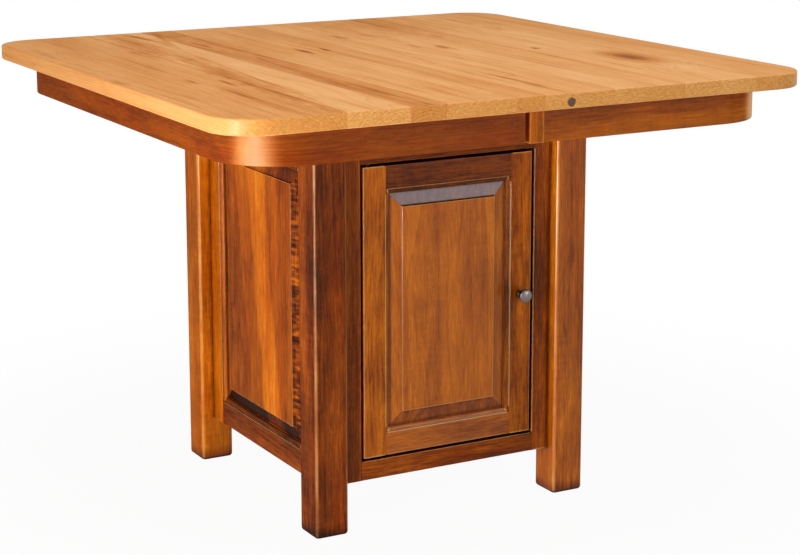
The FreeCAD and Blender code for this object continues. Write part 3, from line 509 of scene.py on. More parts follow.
def clear_of_joints(tree, name):
    """One all over a stile or a rail, and none along the flush lines where the two meet."""
    group = name.rsplit("_", 2)[0]
    low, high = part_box(f"{group}_top_rail")
    axis = 0 if high.x - low.x > high.y - low.y else 1
    place = split(place_of(tree))
    from_middle = calc("ABSOLUTE", calc("SUBTRACT", place[axis], (low[axis] + high[axis]) / 2))
    from_end = calc("ABSOLUTE", calc("SUBTRACT", from_middle, (high[axis] - low[axis]) / 2))
    clear = fade(from_end, JOINT_LINE, 1.5 * JOINT_LINE)
    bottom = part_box(f"{group}_bottom_rail")[1].z
    above = fade(place[2], bottom, bottom + JOINT_LINE)
    beside_panel = calc("MULTIPLY", above, fade(place[2], low.z, low.z - JOINT_LINE))
    return calc("MAXIMUM", clear, beside_panel)


def edge_highlight_and_wear(tree, name, width, edge_lift):
    """Direction that a softened edge faces, and the share of an edge painted lighter, partly as rubbing and
    partly as painted highlight.
    """
    width = width * edge_lift
    if name.endswith(("_stile", "_rail")):
        width = calc("MULTIPLY", clear_of_joints(tree, name), width)
    softened = add_node(tree, "Bevel", {"Radius": width}, samples=4).outputs[0]
    normal = add_node(tree, "NewGeometry").outputs["Normal"]
    facing = outputs_of("VectorMath", {0: softened, 1: normal}, operation="DOT_PRODUCT")["Value"]
    edge = calc("MULTIPLY", fade(facing, 0.985, 0.80), edge_lift)
    return softened, calc("MINIMUM", edge, 1.0)


# Corners painted lighter, mostly as painted highlight and partly as rubbing: where they start and are full,
# as the product of the two level parts of a normal, which is at most a half; then the most that they are
# lightened and the power that draws the lightening to the middle
POST_HIGHLIGHT_AND_WEAR = (0.26, 0.50, 0.62, 1.4)
APRON_HIGHLIGHT_AND_WEAR = (0.28, 0.51, 1.0, 2.0)
# Waves per metre of the patches in that painted highlight
PATCH_WAVES = (14.0, 14.0, 9.0)
# Gloss that a fully lightened edge or rounding gains, as a multiple of the gloss beside it
POLISH = 4.5
# Height over which the feet of the posts turn darker towards the bottom, in millimetres
FOOT_DARK_HEIGHT = 26


def corner_highlight_and_wear(tree, start, end, most, power):
    """Share of a surface that faces between two sides of a post or an apron, painted lighter unevenly: mostly
    painted highlight, partly rubbing.
    """
    x, y, _ = facing_of(tree)
    patches = noise(place_of(tree), PATCH_WAVES, detail=3.0)[0]
    patchy_lift = fade(patches, 0.3, 0.7, most / 2, most)
    between = fade(calc("ABSOLUTE", calc("MULTIPLY", x, y)), start, end)
    return calc("MULTIPLY", calc("POWER", between, power), patchy_lift)


def darker_foot(tree):
    """Share of the foot of a post that is darker towards the bottom."""
    z = split(place_of(tree))[2]
    return fade(z, FOOT_DARK_HEIGHT * MM, 0.0)


# Stripes of the left side panel: y in millimetres and tone
SIDE_STRIPES = (
    (-150, 0.46),
    (-100, 0.50),
    (-34, 0.58),
    (-22, 0.78),
    (34, 0.82),
    (44, 0.64),
    (84, 0.66),
    (94, 0.52),
    (150, 0.50),
)
# Tone and ripple of the bevel at the front edge of that panel
BEVEL_TONE = 0.30
BEVEL_RIPPLE = 1.5
# The stripes lean by this share, stand in their places at this height and sway by this much, in these
# waves per metre
STRIPE_LEAN = 0.14
STRIPE_HEIGHT = 550
STRIPE_WAVE = 26
STRIPE_WAVES = (9.0, 9.0, 3.5)


def striped_stain(tree, stripes):
    """Tone and ripple of a panel with upright stripes and a dark rippled bevel at its front edge."""
    _, y, z = split(place_of(tree))
    wave = noise(join(0.0, y, z), STRIPE_WAVES, detail=3.0)[0]
    upright = calc("ADD", y, STRIPE_LEAN * STRIPE_HEIGHT * MM)
    leaning = calc("MULTIPLY_ADD", z, -STRIPE_LEAN, upright)
    across = sway(leaning, wave, STRIPE_WAVE * MM)
    first, last = stripes[0][0], stripes[-1][0]
    share = calc("MULTIPLY_ADD", across, 1 / ((last - first) * MM), -first / (last - first))
    stops = [((place - first) / (last - first), (tone, tone, tone)) for place, tone in stripes]
    tone = split(ramp(share, stops)[0])[0]
    bevel = fade(facing_of(tree)[1], -0.08, -0.15)
    darker = calc("MULTIPLY", calc("SUBTRACT", BEVEL_TONE, tone), bevel)
    return calc("ADD", tone, darker), calc("MULTIPLY_ADD", bevel, BEVEL_RIPPLE, 0.1)


def stained_piece(name, finish, stain, seed, grain="Z", side=0, stripes=None):
    """Stained maple for one piece; side is given for a bent apron, stripes for a striped panel."""
    material, tree, shader = new_material(f"stained {name.replace('_', ' ')}")
    place, end = (around_apron(tree, side), 0.0) if side else along_grain(tree, grain)
    pith = SEED_STEP * seed + Vector((0.05 * math.cos(seed * 2.4), 0.12 * math.sin(seed * 1.7), 0.0))
    tone, ripple = striped_stain(tree, stripes) if stripes else (stain.tone, stain.ripple)
    facing_x, _, facing_up = facing_of(tree)
    # Painted light: faces towards the left are painted lighter
    if stain.left:
        tone = calc("MULTIPLY_ADD", fade(facing_x, -0.5, -0.9), stain.left, tone)
    # Faces turned up or down are darkened: end-grain stain, and painted shade on panel bevels where the
    # weight is raised
    end_stain_and_shade = fade(facing_up, -0.05, 0.05, stain.below, stain.above)
    # Painted shade in corners, creases and recesses; with a long reach on the aprons it paints the shade
    # under the top
    corner_shade = calc("MULTIPLY", painted_corner_shade(tree, finish.corner_shade * stain.reach), stain.corner_shade)
    if side:
        # On bent aprons the middle of each bend is painted lighter and paler, mostly as painted highlight
        edge = corner_highlight_and_wear(tree, *APRON_HIGHLIGHT_AND_WEAR)
    elif name.startswith("post"):
        # The rounded arrises of the posts are painted lighter, mostly as painted highlight
        edge = corner_highlight_and_wear(tree, *POST_HIGHLIGHT_AND_WEAR)
        end = calc("MAXIMUM", end, darker_foot(tree))
    else:
        # Edges painted lighter and paler, partly as rubbing and partly as painted highlight, less where
        # painted shade lies
        softened, edge = edge_highlight_and_wear(tree, name, finish.edge, stain.edge_lift)
        edge = calc("MAXIMUM", calc("SUBTRACT", edge, corner_shade), 0.0)
        feed(tree, shader, {"Coat Normal": softened})
    inputs = {"Place": calc_vector("ADD", place, SEED_STEP * seed), "Pith": pith, "Tone": tone,
              "Red": stain.red, "Blotch": stain.blotch, "Band": stain.band, "Fibre": stain.fibre,
              "Ripple": ripple, "End": calc("MULTIPLY", end, end_stain_and_shade), "Edge": edge, "Corner": corner_shade}
    wood = use_group(tree, stained_maple(finish), inputs)
    gloss = finish.gloss * stain.gloss
    feed(tree, shader, {"Base Color": wood["Colour"], "Roughness": wood["Roughness"],
                        "Specular IOR Level": 0.0,
                        "Coat Weight": calc("MULTIPLY_ADD", edge, POLISH * gloss, gloss),
                        "Coat IOR": finish.gloss_index, "Coat Roughness": finish.gloss_roughness * stain.haze,
                        "Normal": relief(wood["Height"], 0.25 * MM, 0.35)})
    dress(material, name)


# Tone of plain wood, the weights of its figure and the gap between its rings
PLAIN_TONE = 0.62
PLAIN_SWAYS = {"Blotch": 0.6, "Fibre": 0.5}
PLAIN_RINGS = -0.35
PLAIN_END = -0.25
PLAIN_RING_GAP = 5.0 * MM


def plain_wood(name, finish, seed):
    """Plain wood with its grain from left to right, for the boards inside, the slides and the pins."""
    material, tree, shader = new_material(f"plain wood {name.replace('_', ' ')}")
    place, end = along_grain(tree, "X")
    place = calc_vector("ADD", place, SEED_STEP * seed)
    pith = SEED_STEP * seed + Vector((0.09, 0.03, 0.0))
    figure = use_group(tree, wood_figure(), {"Place": place, "Pith": pith, "Ring Gap": PLAIN_RING_GAP})
    tone = PLAIN_TONE
    for label, weight in PLAIN_SWAYS.items():
        tone = sway(tone, figure[label], weight)
    tone = calc("MULTIPLY_ADD", figure["Rings"], PLAIN_RINGS, tone)
    tone = calc("MULTIPLY_ADD", end, PLAIN_END, tone)
    colour = ramp(tone, even_stops(finish.dark, finish.plain, finish.pale))[0]
    feed(tree, shader, {"Base Color": colour, "Specular IOR Level": finish.gloss,
                        "Roughness": sway(finish.roughness, figure["Fibre"], 0.2),
                        "Normal": relief(figure["Fibre"], 0.15 * MM, 0.3)})
    return material


# Table top: left edge of each board in millimetres from the seam, its tone and its seed
LEFT_BOARDS = (
    (-540, 0.12, 0.13),
    (-447, 0.06, 0.57),
    (-344, 0.44, 0.83),
    (-238, -0.14, 0.07),
    (-176, 0.28, 0.66),
    (-52, 0.06, 0.42),
)
RIGHT_BOARDS = (
    (-10, 0.36, 0.91),
    (60, 0.32, 0.24),
    (128, 0.36, 0.49),
    (186, 0.24, 0.74),
    (264, 0.42, 0.02),
    (335, 0.48, 0.38),
    (409, 0.22, 0.60),
)
# Width over which the boards of a half lie, and how far a pith lies from the middle of its board at most
BOARD_SPAN = 560
PITH_SWAY = 90
# How far apart boards lie in their wood for a seed of one, and height of their pith, in metres
BOARD_STEP = (6.1, 4.3, 17.0)
PITH_HEIGHT = 0.70
# Marks in the boards, in millimetres: x, y, half width, half length, lean to the side, strength
LEFT_STREAKS = (
    (-371, -175, 5, 46, 0.05, 0.9),
    (-417, -139, 4, 30, -0.04, 0.7),
    (-401, -262, 16, 85, 0.06, 0.35),
    (-88, 116, 8, 50, 0.0, 1.1),
    (-45, 122, 6, 36, 0.05, 0.9),
    (-270, 447, 12, 90, -0.10, 1.0),
    (-310, -150, 5, 430, 0.086, 0.60),
    (-330, -110, 28, 470, 0.060, 0.75),
    (-318, 330, 40, 260, 0.05, 0.70),
    (-246, 380, 8, 150, 0.20, 0.55),
    (-150, 250, 60, 260, 0.0, 0.30),
    (-262, 350, 12, 90, 0.10, 0.5),
    (-521, -91, 11, 40, 0.0, 0.4),
    (-205, -330, 9, 120, 0.02, 0.35),
    (-120, -420, 7, 60, 0.04, 0.3),
)
RIGHT_STREAKS = (
    (46, -390, 7, 140, -0.01, 0.75),
    (40, -440, 3, 90, -0.015, 0.85),
    (157, 53, 11, 36, 0.05, 1.0),
    (118, 80, 7, 34, 0.0, 0.7),
    (62, 270, 12, 50, 0.0, 0.6),
    (228, 190, 5, 40, 0.0, 0.7),
    (165, 30, 5, 40, 0.08, 0.5),
    (121, 281, 15, 60, 0.02, 0.5),
    (391, 257, 17, 60, 0.03, 0.45),
    (391, 428, 3.5, 150, 0.0, 0.9),
    (307, 503, 9, 14, 0.0, 0.8),
    (300, -300, 8, 140, 0.02, 0.25),
    (230, 440, 190, 280, 0.0, 0.44),
)
# Knots in millimetres: x, y, half width and half length of the core
RIGHT_KNOTS = ((373, -235, 15, 42), (295, -47, 3.5, 6))
# How far a knot pushes the rings aside, times its half width
KNOT_PUSH = 2.6
# Knot in the front edge: x, height and radius in millimetres
EDGE_KNOT = (48.8, 747.0)
EDGE_KNOT_RADIUS = 6.8
# Weights in the tone of the boards, and in that of their sawn ends
TOP_SWAYS = {"Blotch": 0.42, "Band": 0.30, "Fibre": 0.30}
TOP_MARKS = {"Streak": -0.20, "Rings": -0.23, "Fleck": -0.05}
STREAK_TONE = -0.52
HALO_TONE = -0.46
END_RINGS = {"Rings": -0.45}
PORE_WAVES = (170.0, 60.0, 380.0)
PORE_SWAY = 1.4


def grain_mark():
    """Distance from the middle of a mark as a share of its size, uneven along the grain."""
    found = bpy.data.node_groups.get("grain mark")
    if found:
        return found
    inputs = {"Place": "Vector", "Middle": "Vector", "Half Size": "Vector", "Lean": "Float"}
    tree, given, result = new_group("grain mark", inputs, {"Distance": "Float"})
    x, y, _ = split(calc_vector("SUBTRACT", given["Place"], given["Middle"]))
    straight = calc("SUBTRACT", x, calc("MULTIPLY", y, given["Lean"]))
    wave = noise(given["Place"], (90.0, 22.0, 90.0), detail=3.0)[0]
    scaled = calc_vector("DIVIDE", join(straight, y, 0.0), given["Half Size"])
    feed(tree, result, {"Distance": sway(length_of(scaled), wave, 1.1)})
    return tree


def mark_distance(tree, place, x, y, half_width, half_length, lean=0.0):
    """Distance from a mark whose place and size are in millimetres."""
    inputs = {"Place": place, "Middle": (x * MM, y * MM, 0.0),
              "Half Size": (half_width * MM, half_length * MM, 1.0), "Lean": lean}
    return use_group(tree, grain_mark(), inputs)["Distance"]


def strongest_mark(tree, place, streaks):
    """Strength of the strongest of the marks at a place."""
    total = 0.0
    for *streak, strength in streaks:
        distance = mark_distance(tree, place, *streak)
        total = calc("MAXIMUM", total, fade(distance, 1.25, 0.1, 0.0, strength))
    return total


def knot_marks(tree, place, knots):
    """Cores and halos of the knots, and how far they push the rings aside."""
    core = 0.0
    halo = 0.0
    swell = 0.0
    for x, y, half_width, half_length in knots:
        distance = mark_distance(tree, place, x, y, half_width, half_length)
        core = calc("MAXIMUM", core, fade(distance, 1.5, 0.1, 0.0, 0.8))
        halo = calc("MAXIMUM", halo, fade(distance, 3.4, 0.8))
        push = calc("EXPONENT", calc("MULTIPLY", calc("POWER", distance, 2.0), -0.09))
        swell = calc("MULTIPLY_ADD", push, KNOT_PUSH * half_width * MM, swell)
    return core, halo, swell


def board_at(x, boards):
    """Seed and tone of the board at x, and the x of its pith."""
    first = boards[0][0]
    right_edges = [left for left, _, _ in boards[1:]] + [first + BOARD_SPAN]
    stops = []
    for (left, tone, seed), right in zip(boards, right_edges):
        pith = (left + right) / 2 + PITH_SWAY * math.sin(seed * 40)
        values = (seed, tone / 2 + 0.5, (pith - first) / BOARD_SPAN, 1.0)
        stops.append(((left - first) / BOARD_SPAN, values))
    across = calc("MULTIPLY_ADD", x, 1 / (BOARD_SPAN * MM), -first / BOARD_SPAN)
    seed, tone, pith_share = split(ramp(across, stops, steps=True)[0])
    return seed, tone, calc("MULTIPLY_ADD", pith_share, BOARD_SPAN * MM, first * MM)


def glue_line(x, boards):
    """Share of dark glue in the joints of the boards."""
    joint = 1.0
    for left, _, _ in boards[1:]:
        joint = calc("MINIMUM", joint, calc("ABSOLUTE", calc("SUBTRACT", x, left * MM)))
    return fade(joint, 0.7 * MM, 0.1 * MM, 0.0, 0.45)


def edge_knot(tree, finish, colour):
    """Colour with the loose knot in the front edge."""
    place = place_of(tree)
    x, y, z = split(place)
    middle = (EDGE_KNOT[0] * MM, EDGE_KNOT[1] * MM, 0.0)
    away = length_of(calc_vector("SUBTRACT", join(x, z, 0.0), middle))
    away = calc("ADD", away, fade(y, -0.52, -0.50, 0.0, 1.0))
    away = sway(away, noise(place, (220.0, 40.0, 220.0))[0], 3.5 * MM)
    radius = EDGE_KNOT_RADIUS * MM
    rim = fade(away, 1.25 * radius, 0.95 * radius)
    core = fade(away, 0.92 * radius, 0.7 * radius)
    colour = mix_colour(rim, colour, opaque(finish.streak))
    return mix_colour(core, colour, opaque(finish.loose_knot))


def boarded_top(half, finish, boards, streaks, knots=()):
    """Hickory boards of one half of the top, with their streaks and knots."""
    material, tree, shader = new_material(f"hickory boards {half} half")
    place = place_of(tree)
    x, y, z = split(place)
    flat_place = join(x, y, 0.0)
    seed, tone, pith_x = board_at(x, boards)
    core, halo, swell = knot_marks(tree, flat_place, knots)
    shift = outputs_of("VectorMath", {0: BOARD_STEP, "Scale": seed}, operation="SCALE")[0]
    pith = join(pith_x, calc("MULTIPLY_ADD", seed, -0.05, PITH_HEIGHT), 0.0)
    inputs = {"Place": calc_vector("ADD", join(x, z, y), shift),
              "Pith": calc_vector("ADD", pith, shift), "Ring Gap": finish.ring_gap, "Swell": swell}
    figure = use_group(tree, wood_figure(), inputs)

    tone = calc("SUBTRACT", tone, 0.5)
    level = calc("MULTIPLY_ADD", tone, 1.1, 0.56)
    for label, weight in TOP_SWAYS.items():
        level = sway(level, figure[label], weight)
    level = weigh(level, figure, TOP_MARKS)
    level = calc("MULTIPLY_ADD", strongest_mark(tree, flat_place, streaks), STREAK_TONE, level)
    level = calc("MULTIPLY_ADD", halo, HALO_TONE, level)
    stops = even_stops(finish.streak, finish.brown, finish.honey, finish.pale, finish.bright)
    colour = ramp(level, stops)[0]

    facing_x, facing_y, _ = facing_of(tree)
    end = fade(calc("ABSOLUTE", facing_y), 0.75, 0.95)
    end_level = sway(0.38, noise(place, PORE_WAVES, 4.0, 0.65)[0], PORE_SWAY)
    end_level = weigh(end_level, figure, END_RINGS)
    end_level = calc("MULTIPLY_ADD", tone, 0.9, end_level)
    end_colour = ramp(end_level, even_stops(finish.brown, finish.gold, finish.bright))[0]
    colour = mix_colour(end, colour, end_colour)
    colour = mix_colour(core, colour, opaque(finish.knot))
    glue = calc("MULTIPLY", glue_line(x, boards), fade(end, 0.0, 1.0, 1.0, 0.35))
    colour = mix_colour(glue, colour, opaque(finish.streak))
    if half == "right":
        colour = edge_knot(tree, finish, colour)

    rounded = fade(calc("ABSOLUTE", calc("MULTIPLY", facing_x, facing_y)), 0.2, 0.5)
    sheen = calc("MULTIPLY_ADD", rounded, 1.5 * POLISH * finish.sheen, finish.sheen)
    height = weigh(figure["Fibre"], figure, {"Rings": -0.5})
    feed(tree, shader, {"Base Color": colour, "Specular IOR Level": 0.0,
                        "Roughness": sway(finish.roughness, figure["Fibre"], 0.2),
                        "Coat Weight": sheen, "Coat Roughness": finish.sheen_roughness,
                        "Normal": relief(height, 0.2 * MM, 0.3)})
    return material


class TABLE_OT_top(bpy.types.Operator):
    """Finish the boards of both halves of the top"""

    bl_idname = "kitchen_table.top"
    bl_label = "Table Top"

    def execute(self, context):
        finish = context.scene.table_top_finish
        dress(boarded_top("left", finish, LEFT_BOARDS, LEFT_STREAKS), "left_top_half")
        dress(boarded_top("right", finish, RIGHT_BOARDS, RIGHT_STREAKS, RIGHT_KNOTS), "right_top_half")
        return {"FINISHED"}


class TABLE_OT_aprons(bpy.types.Operator):
    """Stain the bent aprons and the end blocks at the seam"""

    bl_idname = "kitchen_table.aprons"
    bl_label = "Aprons"

    def execute(self, context):
        finish = context.scene.table_stain_finish
        # A long reach paints the shade under the top on these aprons
        left = Stain(0.46, red=0.45, ripple=0.1, blotch=0.3, fibre=0.35, haze=1.9, corner_shade=0.5, reach=6.0)
        right = Stain(0.62, red=0.25, ripple=0.1, blotch=0.4, fibre=0.45, haze=1.6, corner_shade=0.5, reach=6.0)
        stained_piece("left_apron", finish, left, 1, side=-1)
        stained_piece("right_apron", finish, right, 2, side=1)
        stained_piece("right_apron_end_blocks", finish, Stain(0.72, corner_shade=0.0), 3)
        return {"FINISHED"}


class TABLE_OT_posts(bpy.types.Operator):
    """Stain the four posts"""

    bl_idname = "kitchen_table.posts"
    bl_label = "Posts"

    def execute(self, context):
        finish = context.scene.table_stain_finish
        stained_piece("post_front_left", finish, Stain(0.36, red=0.45, band=0.6, ripple=0.2), 4)
        # Its left face is painted lighter, as painted light
        stained_piece("post_front_right", finish, Stain(0.60, red=0.25, gloss=2.2, left=0.16), 5)
        stained_piece("post_back_left", finish, Stain(0.72, red=0.30), 6)
        stained_piece("post_back_right", finish, Stain(0.52, red=0.30), 7)
        return {"FINISHED"}


def stained_frame(prefix, finish, first_seed, rail_grain, stains):
    """Stain the pieces whose names start with a prefix."""
    for seed, (part, stain) in enumerate(stains.items(), start=first_seed):
        grain = rail_grain if part.endswith("rail") else "Z"
        stained_piece(f"{prefix}_{part}", finish, stain, seed, grain)


class TABLE_OT_face_frame(bpy.types.Operator):
    """Stain the frame round the door"""

    bl_idname = "kitchen_table.face_frame"
    bl_label = "Face Frame"

    def execute(self, context):
        stains = {
            "left_stile": Stain(0.46, red=0.35),
            # A stronger lift of the edge paints a highlight line along the gap
            "right_stile": Stain(0.43, red=0.35, edge_lift=1.8),
            "top_rail": Stain(0.30, red=0.30),
            "bottom_rail": Stain(0.38, red=0.40),
        }
        stained_frame("face_frame", context.scene.table_stain_finish, 8, "X", stains)
        return {"FINISHED"}


class TABLE_OT_sides(bpy.types.Operator):
    """Stain the frames and panels of the two sides"""

    bl_idname = "kitchen_table.sides"
    bl_label = "Sides"

    def execute(self, context):
        finish = context.scene.table_stain_finish
        stains = {
            "front_stile": Stain(0.50, red=0.40),
            "back_stile": Stain(0.70, red=0.50, gloss=2.0),
            "top_rail": Stain(0.40, red=0.40),
            "bottom_rail": Stain(0.36, red=0.40),
        }
        stained_frame("left_side", finish, 12, "Y", stains)
        # Its bottom bevel is painted dark, as painted shade
        panel = Stain(0.60, red=0.50, below=0.95)
        stained_piece("left_side_panel", finish, panel, 16, stripes=SIDE_STRIPES)
        stains = {
            "front_stile": Stain(0.52, red=0.35),
            "back_stile": Stain(0.56, red=0.40),
            "top_rail": Stain(0.44, red=0.35),
            "bottom_rail": Stain(0.44, red=0.40),
            "panel": Stain(0.58, red=0.35, band=0.9, ripple=0.3),
        }
        stained_frame("right_side", finish, 17, "Y", stains)
        return {"FINISHED"}


class TABLE_OT_back(bpy.types.Operator):
    """Stain the frame and panel of the back"""

    bl_idname = "kitchen_table.back"
    bl_label = "Back"

    def execute(self, context):
        stains = {
            "left_stile": Stain(0.50, red=0.35),
            "right_stile": Stain(0.55, red=0.30),
            "top_rail": Stain(0.44, red=0.35),
            "bottom_rail": Stain(0.46, red=0.40),
            "panel": Stain(0.58, red=0.30, band=0.8),
        }
        stained_frame("back", context.scene.table_stain_finish, 22, "X", stains)
        return {"FINISHED"}


class TABLE_OT_door(bpy.types.Operator):
    """Stain the frame and panel of the door"""

    bl_idname = "kitchen_table.door"
    bl_label = "Door"

    def execute(self, context):
        stains = {
            # Stronger lifts of the edges paint highlight lines on the beads and arrises
            "hinge_stile": Stain(0.61, red=0.0, band=0.5, blotch=1.1, gloss=1.4, edge_lift=1.6),
            "lock_stile": Stain(0.42, red=0.20, band=0.6, blotch=1.2, corner_shade=0.6, edge_lift=1.8),
            "top_rail": Stain(0.28, red=0.0, gloss=1.4),
            "bottom_rail": Stain(0.57, red=0.0, gloss=2.6, edge_lift=1.9),
            # Its top bevel is painted darker, as painted shade under the overhang
            "panel": Stain(0.62, red=0.0, band=0.25, ripple=0.1, blotch=0.5, fibre=0.5, above=0.6,
                           gloss=2.4),
        }
        stained_frame("door", context.scene.table_stain_finish, 27, "X", stains)
        return {"FINISHED"}


class TABLE_OT_inside(bpy.types.Operator):
    """Finish the boards inside the cabinet, the shelf with its pins and the pins at the seam"""

    bl_idname = "kitchen_table.inside"
    bl_label = "Inside"

    def execute(self, context):
        finish = context.scene.table_inside_finish
        for seed, name in enumerate(("cabinet_floor", "cabinet_top_board", "cabinet_shelf"), start=40):
            dress(plain_wood(name, finish, seed), name)
        dress(plain_wood("pins", context.scene.table_slide_finish, 43), "alignment_pins")
        hardware = context.scene.table_hardware_finish
        dress(plated_metal("shelf pins", hardware.steel, hardware), "shelf_pins")
        return {"FINISHED"}


# Metal and plastic
def plated_metal(name, colour, finish):
    """Plated metal with a faint cloudy grain and fine scratches."""
    material, tree, shader = new_material(f"plated metal {name}")
    place = place_of(tree)
    cloud = noise(place, (90.0, 90.0, 90.0), detail=4.0)[0]
    scratch = noise(place, (2600.0, 300.0, 2600.0), detail=1.0)[0]
    shade = fade(cloud, 0.3, 0.7, 0.78, 1.0)
    colour = mix_colour(1.0, opaque(colour), join(shade, shade, shade), "MULTIPLY")
    rough = sway(finish.steel_roughness, cloud, 0.25)
    rough = sway(rough, scratch, 0.15)
    feed(tree, shader, {"Base Color": colour, "Metallic": 1.0, "Roughness": rough,
                        "Normal": relief(scratch, 0.02 * MM, 0.3)})
    return material


# Turned knob, in millimetres out from the door: end of its foot, narrowest place of its neck, and rim with
# its width; then the radii of its foot and its neck
KNOB_FOOT = 2.6
KNOB_WAIST = 11.5
KNOB_RIM = 18.0
KNOB_RIM_EDGE = 0.6
KNOB_FOOT_RADIUS = 7.5
KNOB_NECK_RADIUS = 4.5
# Hole for the knob's screw, in millimetres
KNOB_HOLE_RADIUS = 2.2
KNOB_HOLE_DEPTH = 9.2
KNOB_SIDES = 48
KNOB_ARC_STEPS = 10
SHARP_ANGLE = math.radians(50.0)


def knob_profile(length, radius):
    """Distances from the door and radii of the turned knob, from the end of its hole to its face."""
    quarter = [math.radians(90.0) * step / KNOB_ARC_STEPS for step in range(KNOB_ARC_STEPS + 1)]
    profile = [(KNOB_HOLE_DEPTH, 0.0), (KNOB_HOLE_DEPTH, KNOB_HOLE_RADIUS), (0.0, KNOB_HOLE_RADIUS),
               (0.0, KNOB_FOOT_RADIUS)]
    for turn in quarter:
        out = KNOB_WAIST - (KNOB_WAIST - KNOB_FOOT) * math.cos(turn)
        profile.append((out, KNOB_FOOT_RADIUS - (KNOB_FOOT_RADIUS - KNOB_NECK_RADIUS) * math.sin(turn)))
    for turn in quarter[1:]:
        out = KNOB_WAIST + (KNOB_RIM - KNOB_WAIST) * math.sin(turn)
        profile.append((out, radius - (radius - KNOB_NECK_RADIUS) * math.cos(turn)))
    dome_start = KNOB_RIM + KNOB_RIM_EDGE
    for turn in quarter:
        profile.append((dome_start + (length - dome_start) * math.sin(turn), radius * math.cos(turn)))
    return profile


def turned_knob(material):
    """Knob with a full dome on a waisted neck, hollow for its screw."""
    low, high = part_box("door_knob")
    middle = (low + high) / 2
    profile = knob_profile((high.y - low.y) / MM, (high.x - low.x) / 2 / MM)
    shape = bmesh.new()
    points = [shape.verts.new((middle.x + away * MM, high.y - out * MM, middle.z)) for out, away in profile]
    lines = [shape.edges.new(pair) for pair in zip(points, points[1:])]
    bmesh.ops.spin(shape, geom=points + lines, cent=middle, axis=(0.0, 1.0, 0.0), angle=math.tau,
                   steps=KNOB_SIDES)
    bmesh.ops.remove_doubles(shape, verts=shape.verts, dist=0.01 * MM)
    bmesh.ops.recalc_face_normals(shape, faces=shape.faces)
    for face in shape.faces:
        face.smooth = True
    for edge in shape.edges:
        edge.smooth = edge.calc_face_angle(0.0) < SHARP_ANGLE
    mesh = bpy.data.meshes.new("turned_knob")
    shape.to_mesh(mesh)
    shape.free()
    mesh.materials.append(material)
    knob = bpy.data.objects.new("turned_knob", mesh)
    bpy.context.scene.collection.objects.link(knob)
    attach(knob, "door")
    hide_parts("door_knob")


def brushed_pewter(finish):
    """Pewter brushed round the axis of the knob, darker in its neck."""
    material, tree, shader = new_material("brushed pewter")
    low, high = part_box("door_knob")
    middle = (low + high) / 2
    place = place_of(tree)
    x, y, z = split(place)
    across = calc_vector("SUBTRACT", join(x, 0.0, z), (middle.x, 0.0, middle.z))
    brushed = line_noise(length_of(across), 3800.0, 2.0)
    cloud = noise(place, (160.0, 160.0, 160.0), detail=3.0)[0]
    depth = high.y - low.y
    head = fade(y, low.y + 0.60 * depth, low.y + 0.42 * depth)
    share = calc("MULTIPLY", head, fade(cloud, 0.25, 0.6, 0.7, 1.0))
    colour = mix_colour(share, opaque(finish.tarnish), opaque(finish.pewter))
    rough = sway(finish.pewter_roughness, brushed, 0.3)
    feed(tree, shader, {"Base Color": colour, "Metallic": 1.0, "Roughness": rough,
                        "Normal": relief(brushed, 0.03 * MM, 1.0)})
    return material


def moulded_plastic(finish):
    """Fine-grained brown plastic."""
    material, tree, shader = new_material("catch plastic")
    place = place_of(tree)
    grain = noise(place, (1800.0, 1800.0, 1800.0), detail=2.0)[0]
    cloud = noise(place, (120.0, 120.0, 120.0), detail=3.0)[0]
    shade = fade(cloud, 0.3, 0.7, 0.85, 1.0)
    colour = mix_colour(1.0, opaque(finish.catch), join(shade, shade, shade), "MULTIPLY")
    feed(tree, shader, {"Base Color": colour, "Roughness": sway(0.45, grain, 0.2),
                        "Normal": relief(grain, 0.05 * MM, 0.4)})
    return material


class TABLE_OT_fittings(bpy.types.Operator):
    """Finish the knob, the hinges, the catch and the lock"""

    bl_idname = "kitchen_table.fittings"
    bl_label = "Fittings"

    def execute(self, context):
        finish = context.scene.table_hardware_finish
        pewter = brushed_pewter(finish)
        dress(pewter, "door_knob")
        turned_knob(pewter)
        dress(moulded_plastic(finish), "magnetic_catch")
        bronze = plated_metal("hinges", finish.bronze, finish)
        dress(bronze, "hinge_door_leaves", "hinge_frame_leaves")
        steel = plated_metal("fittings", finish.steel, finish)
        dress(steel, "knob_screw", "catch_strike_plate", "table_lock_plate", "table_lock_lever",
              "table_lock_keeper")
        return {"FINISHED"}


class TABLE_OT_slides(bpy.types.Operator):
    """Finish the wooden slides with their gears, racks and screws"""

    bl_idname = "kitchen_table.slides"
    bl_label = "Slides"

    def execute(self, context):
        wood = context.scene.table_slide_finish
        names = ("front_center_slide", "back_center_slide", "left_slide_rails", "right_slide_rails")
        for seed, name in enumerate(names, start=50):
            dress(plain_wood(name, wood, seed), name)
        hardware = context.scene.table_hardware_finish
        steel = plated_metal("slides", hardware.steel, hardware)
        dress(steel, "slide_base_screws", "pinion_pins", "left_slide_racks", "right_slide_racks",
              "left_slide_screws", "right_slide_screws", "front_pinion", "back_pinion")
        return {"FINISHED"}


# Studio
FLOOR_RADIUS = 16.0
FLOOR_SIDES = 96
# Distances from the middle of the table between which the floor turns to plain white
GLOW_FADE = (0.4, 1.5)
BLACK = (0.0, 0.0, 0.0)
WHITE = (1.0, 1.0, 1.0)


def seen_directly(tree):
    """One for rays that show a surface itself: from the camera, in a mirror or through glass."""
    rays = add_node(tree, "LightPath").outputs
    shown = calc("MAXIMUM", rays["Is Camera Ray"], rays["Is Glossy Ray"])
    return calc("MAXIMUM", shown, rays["Is Transmission Ray"])


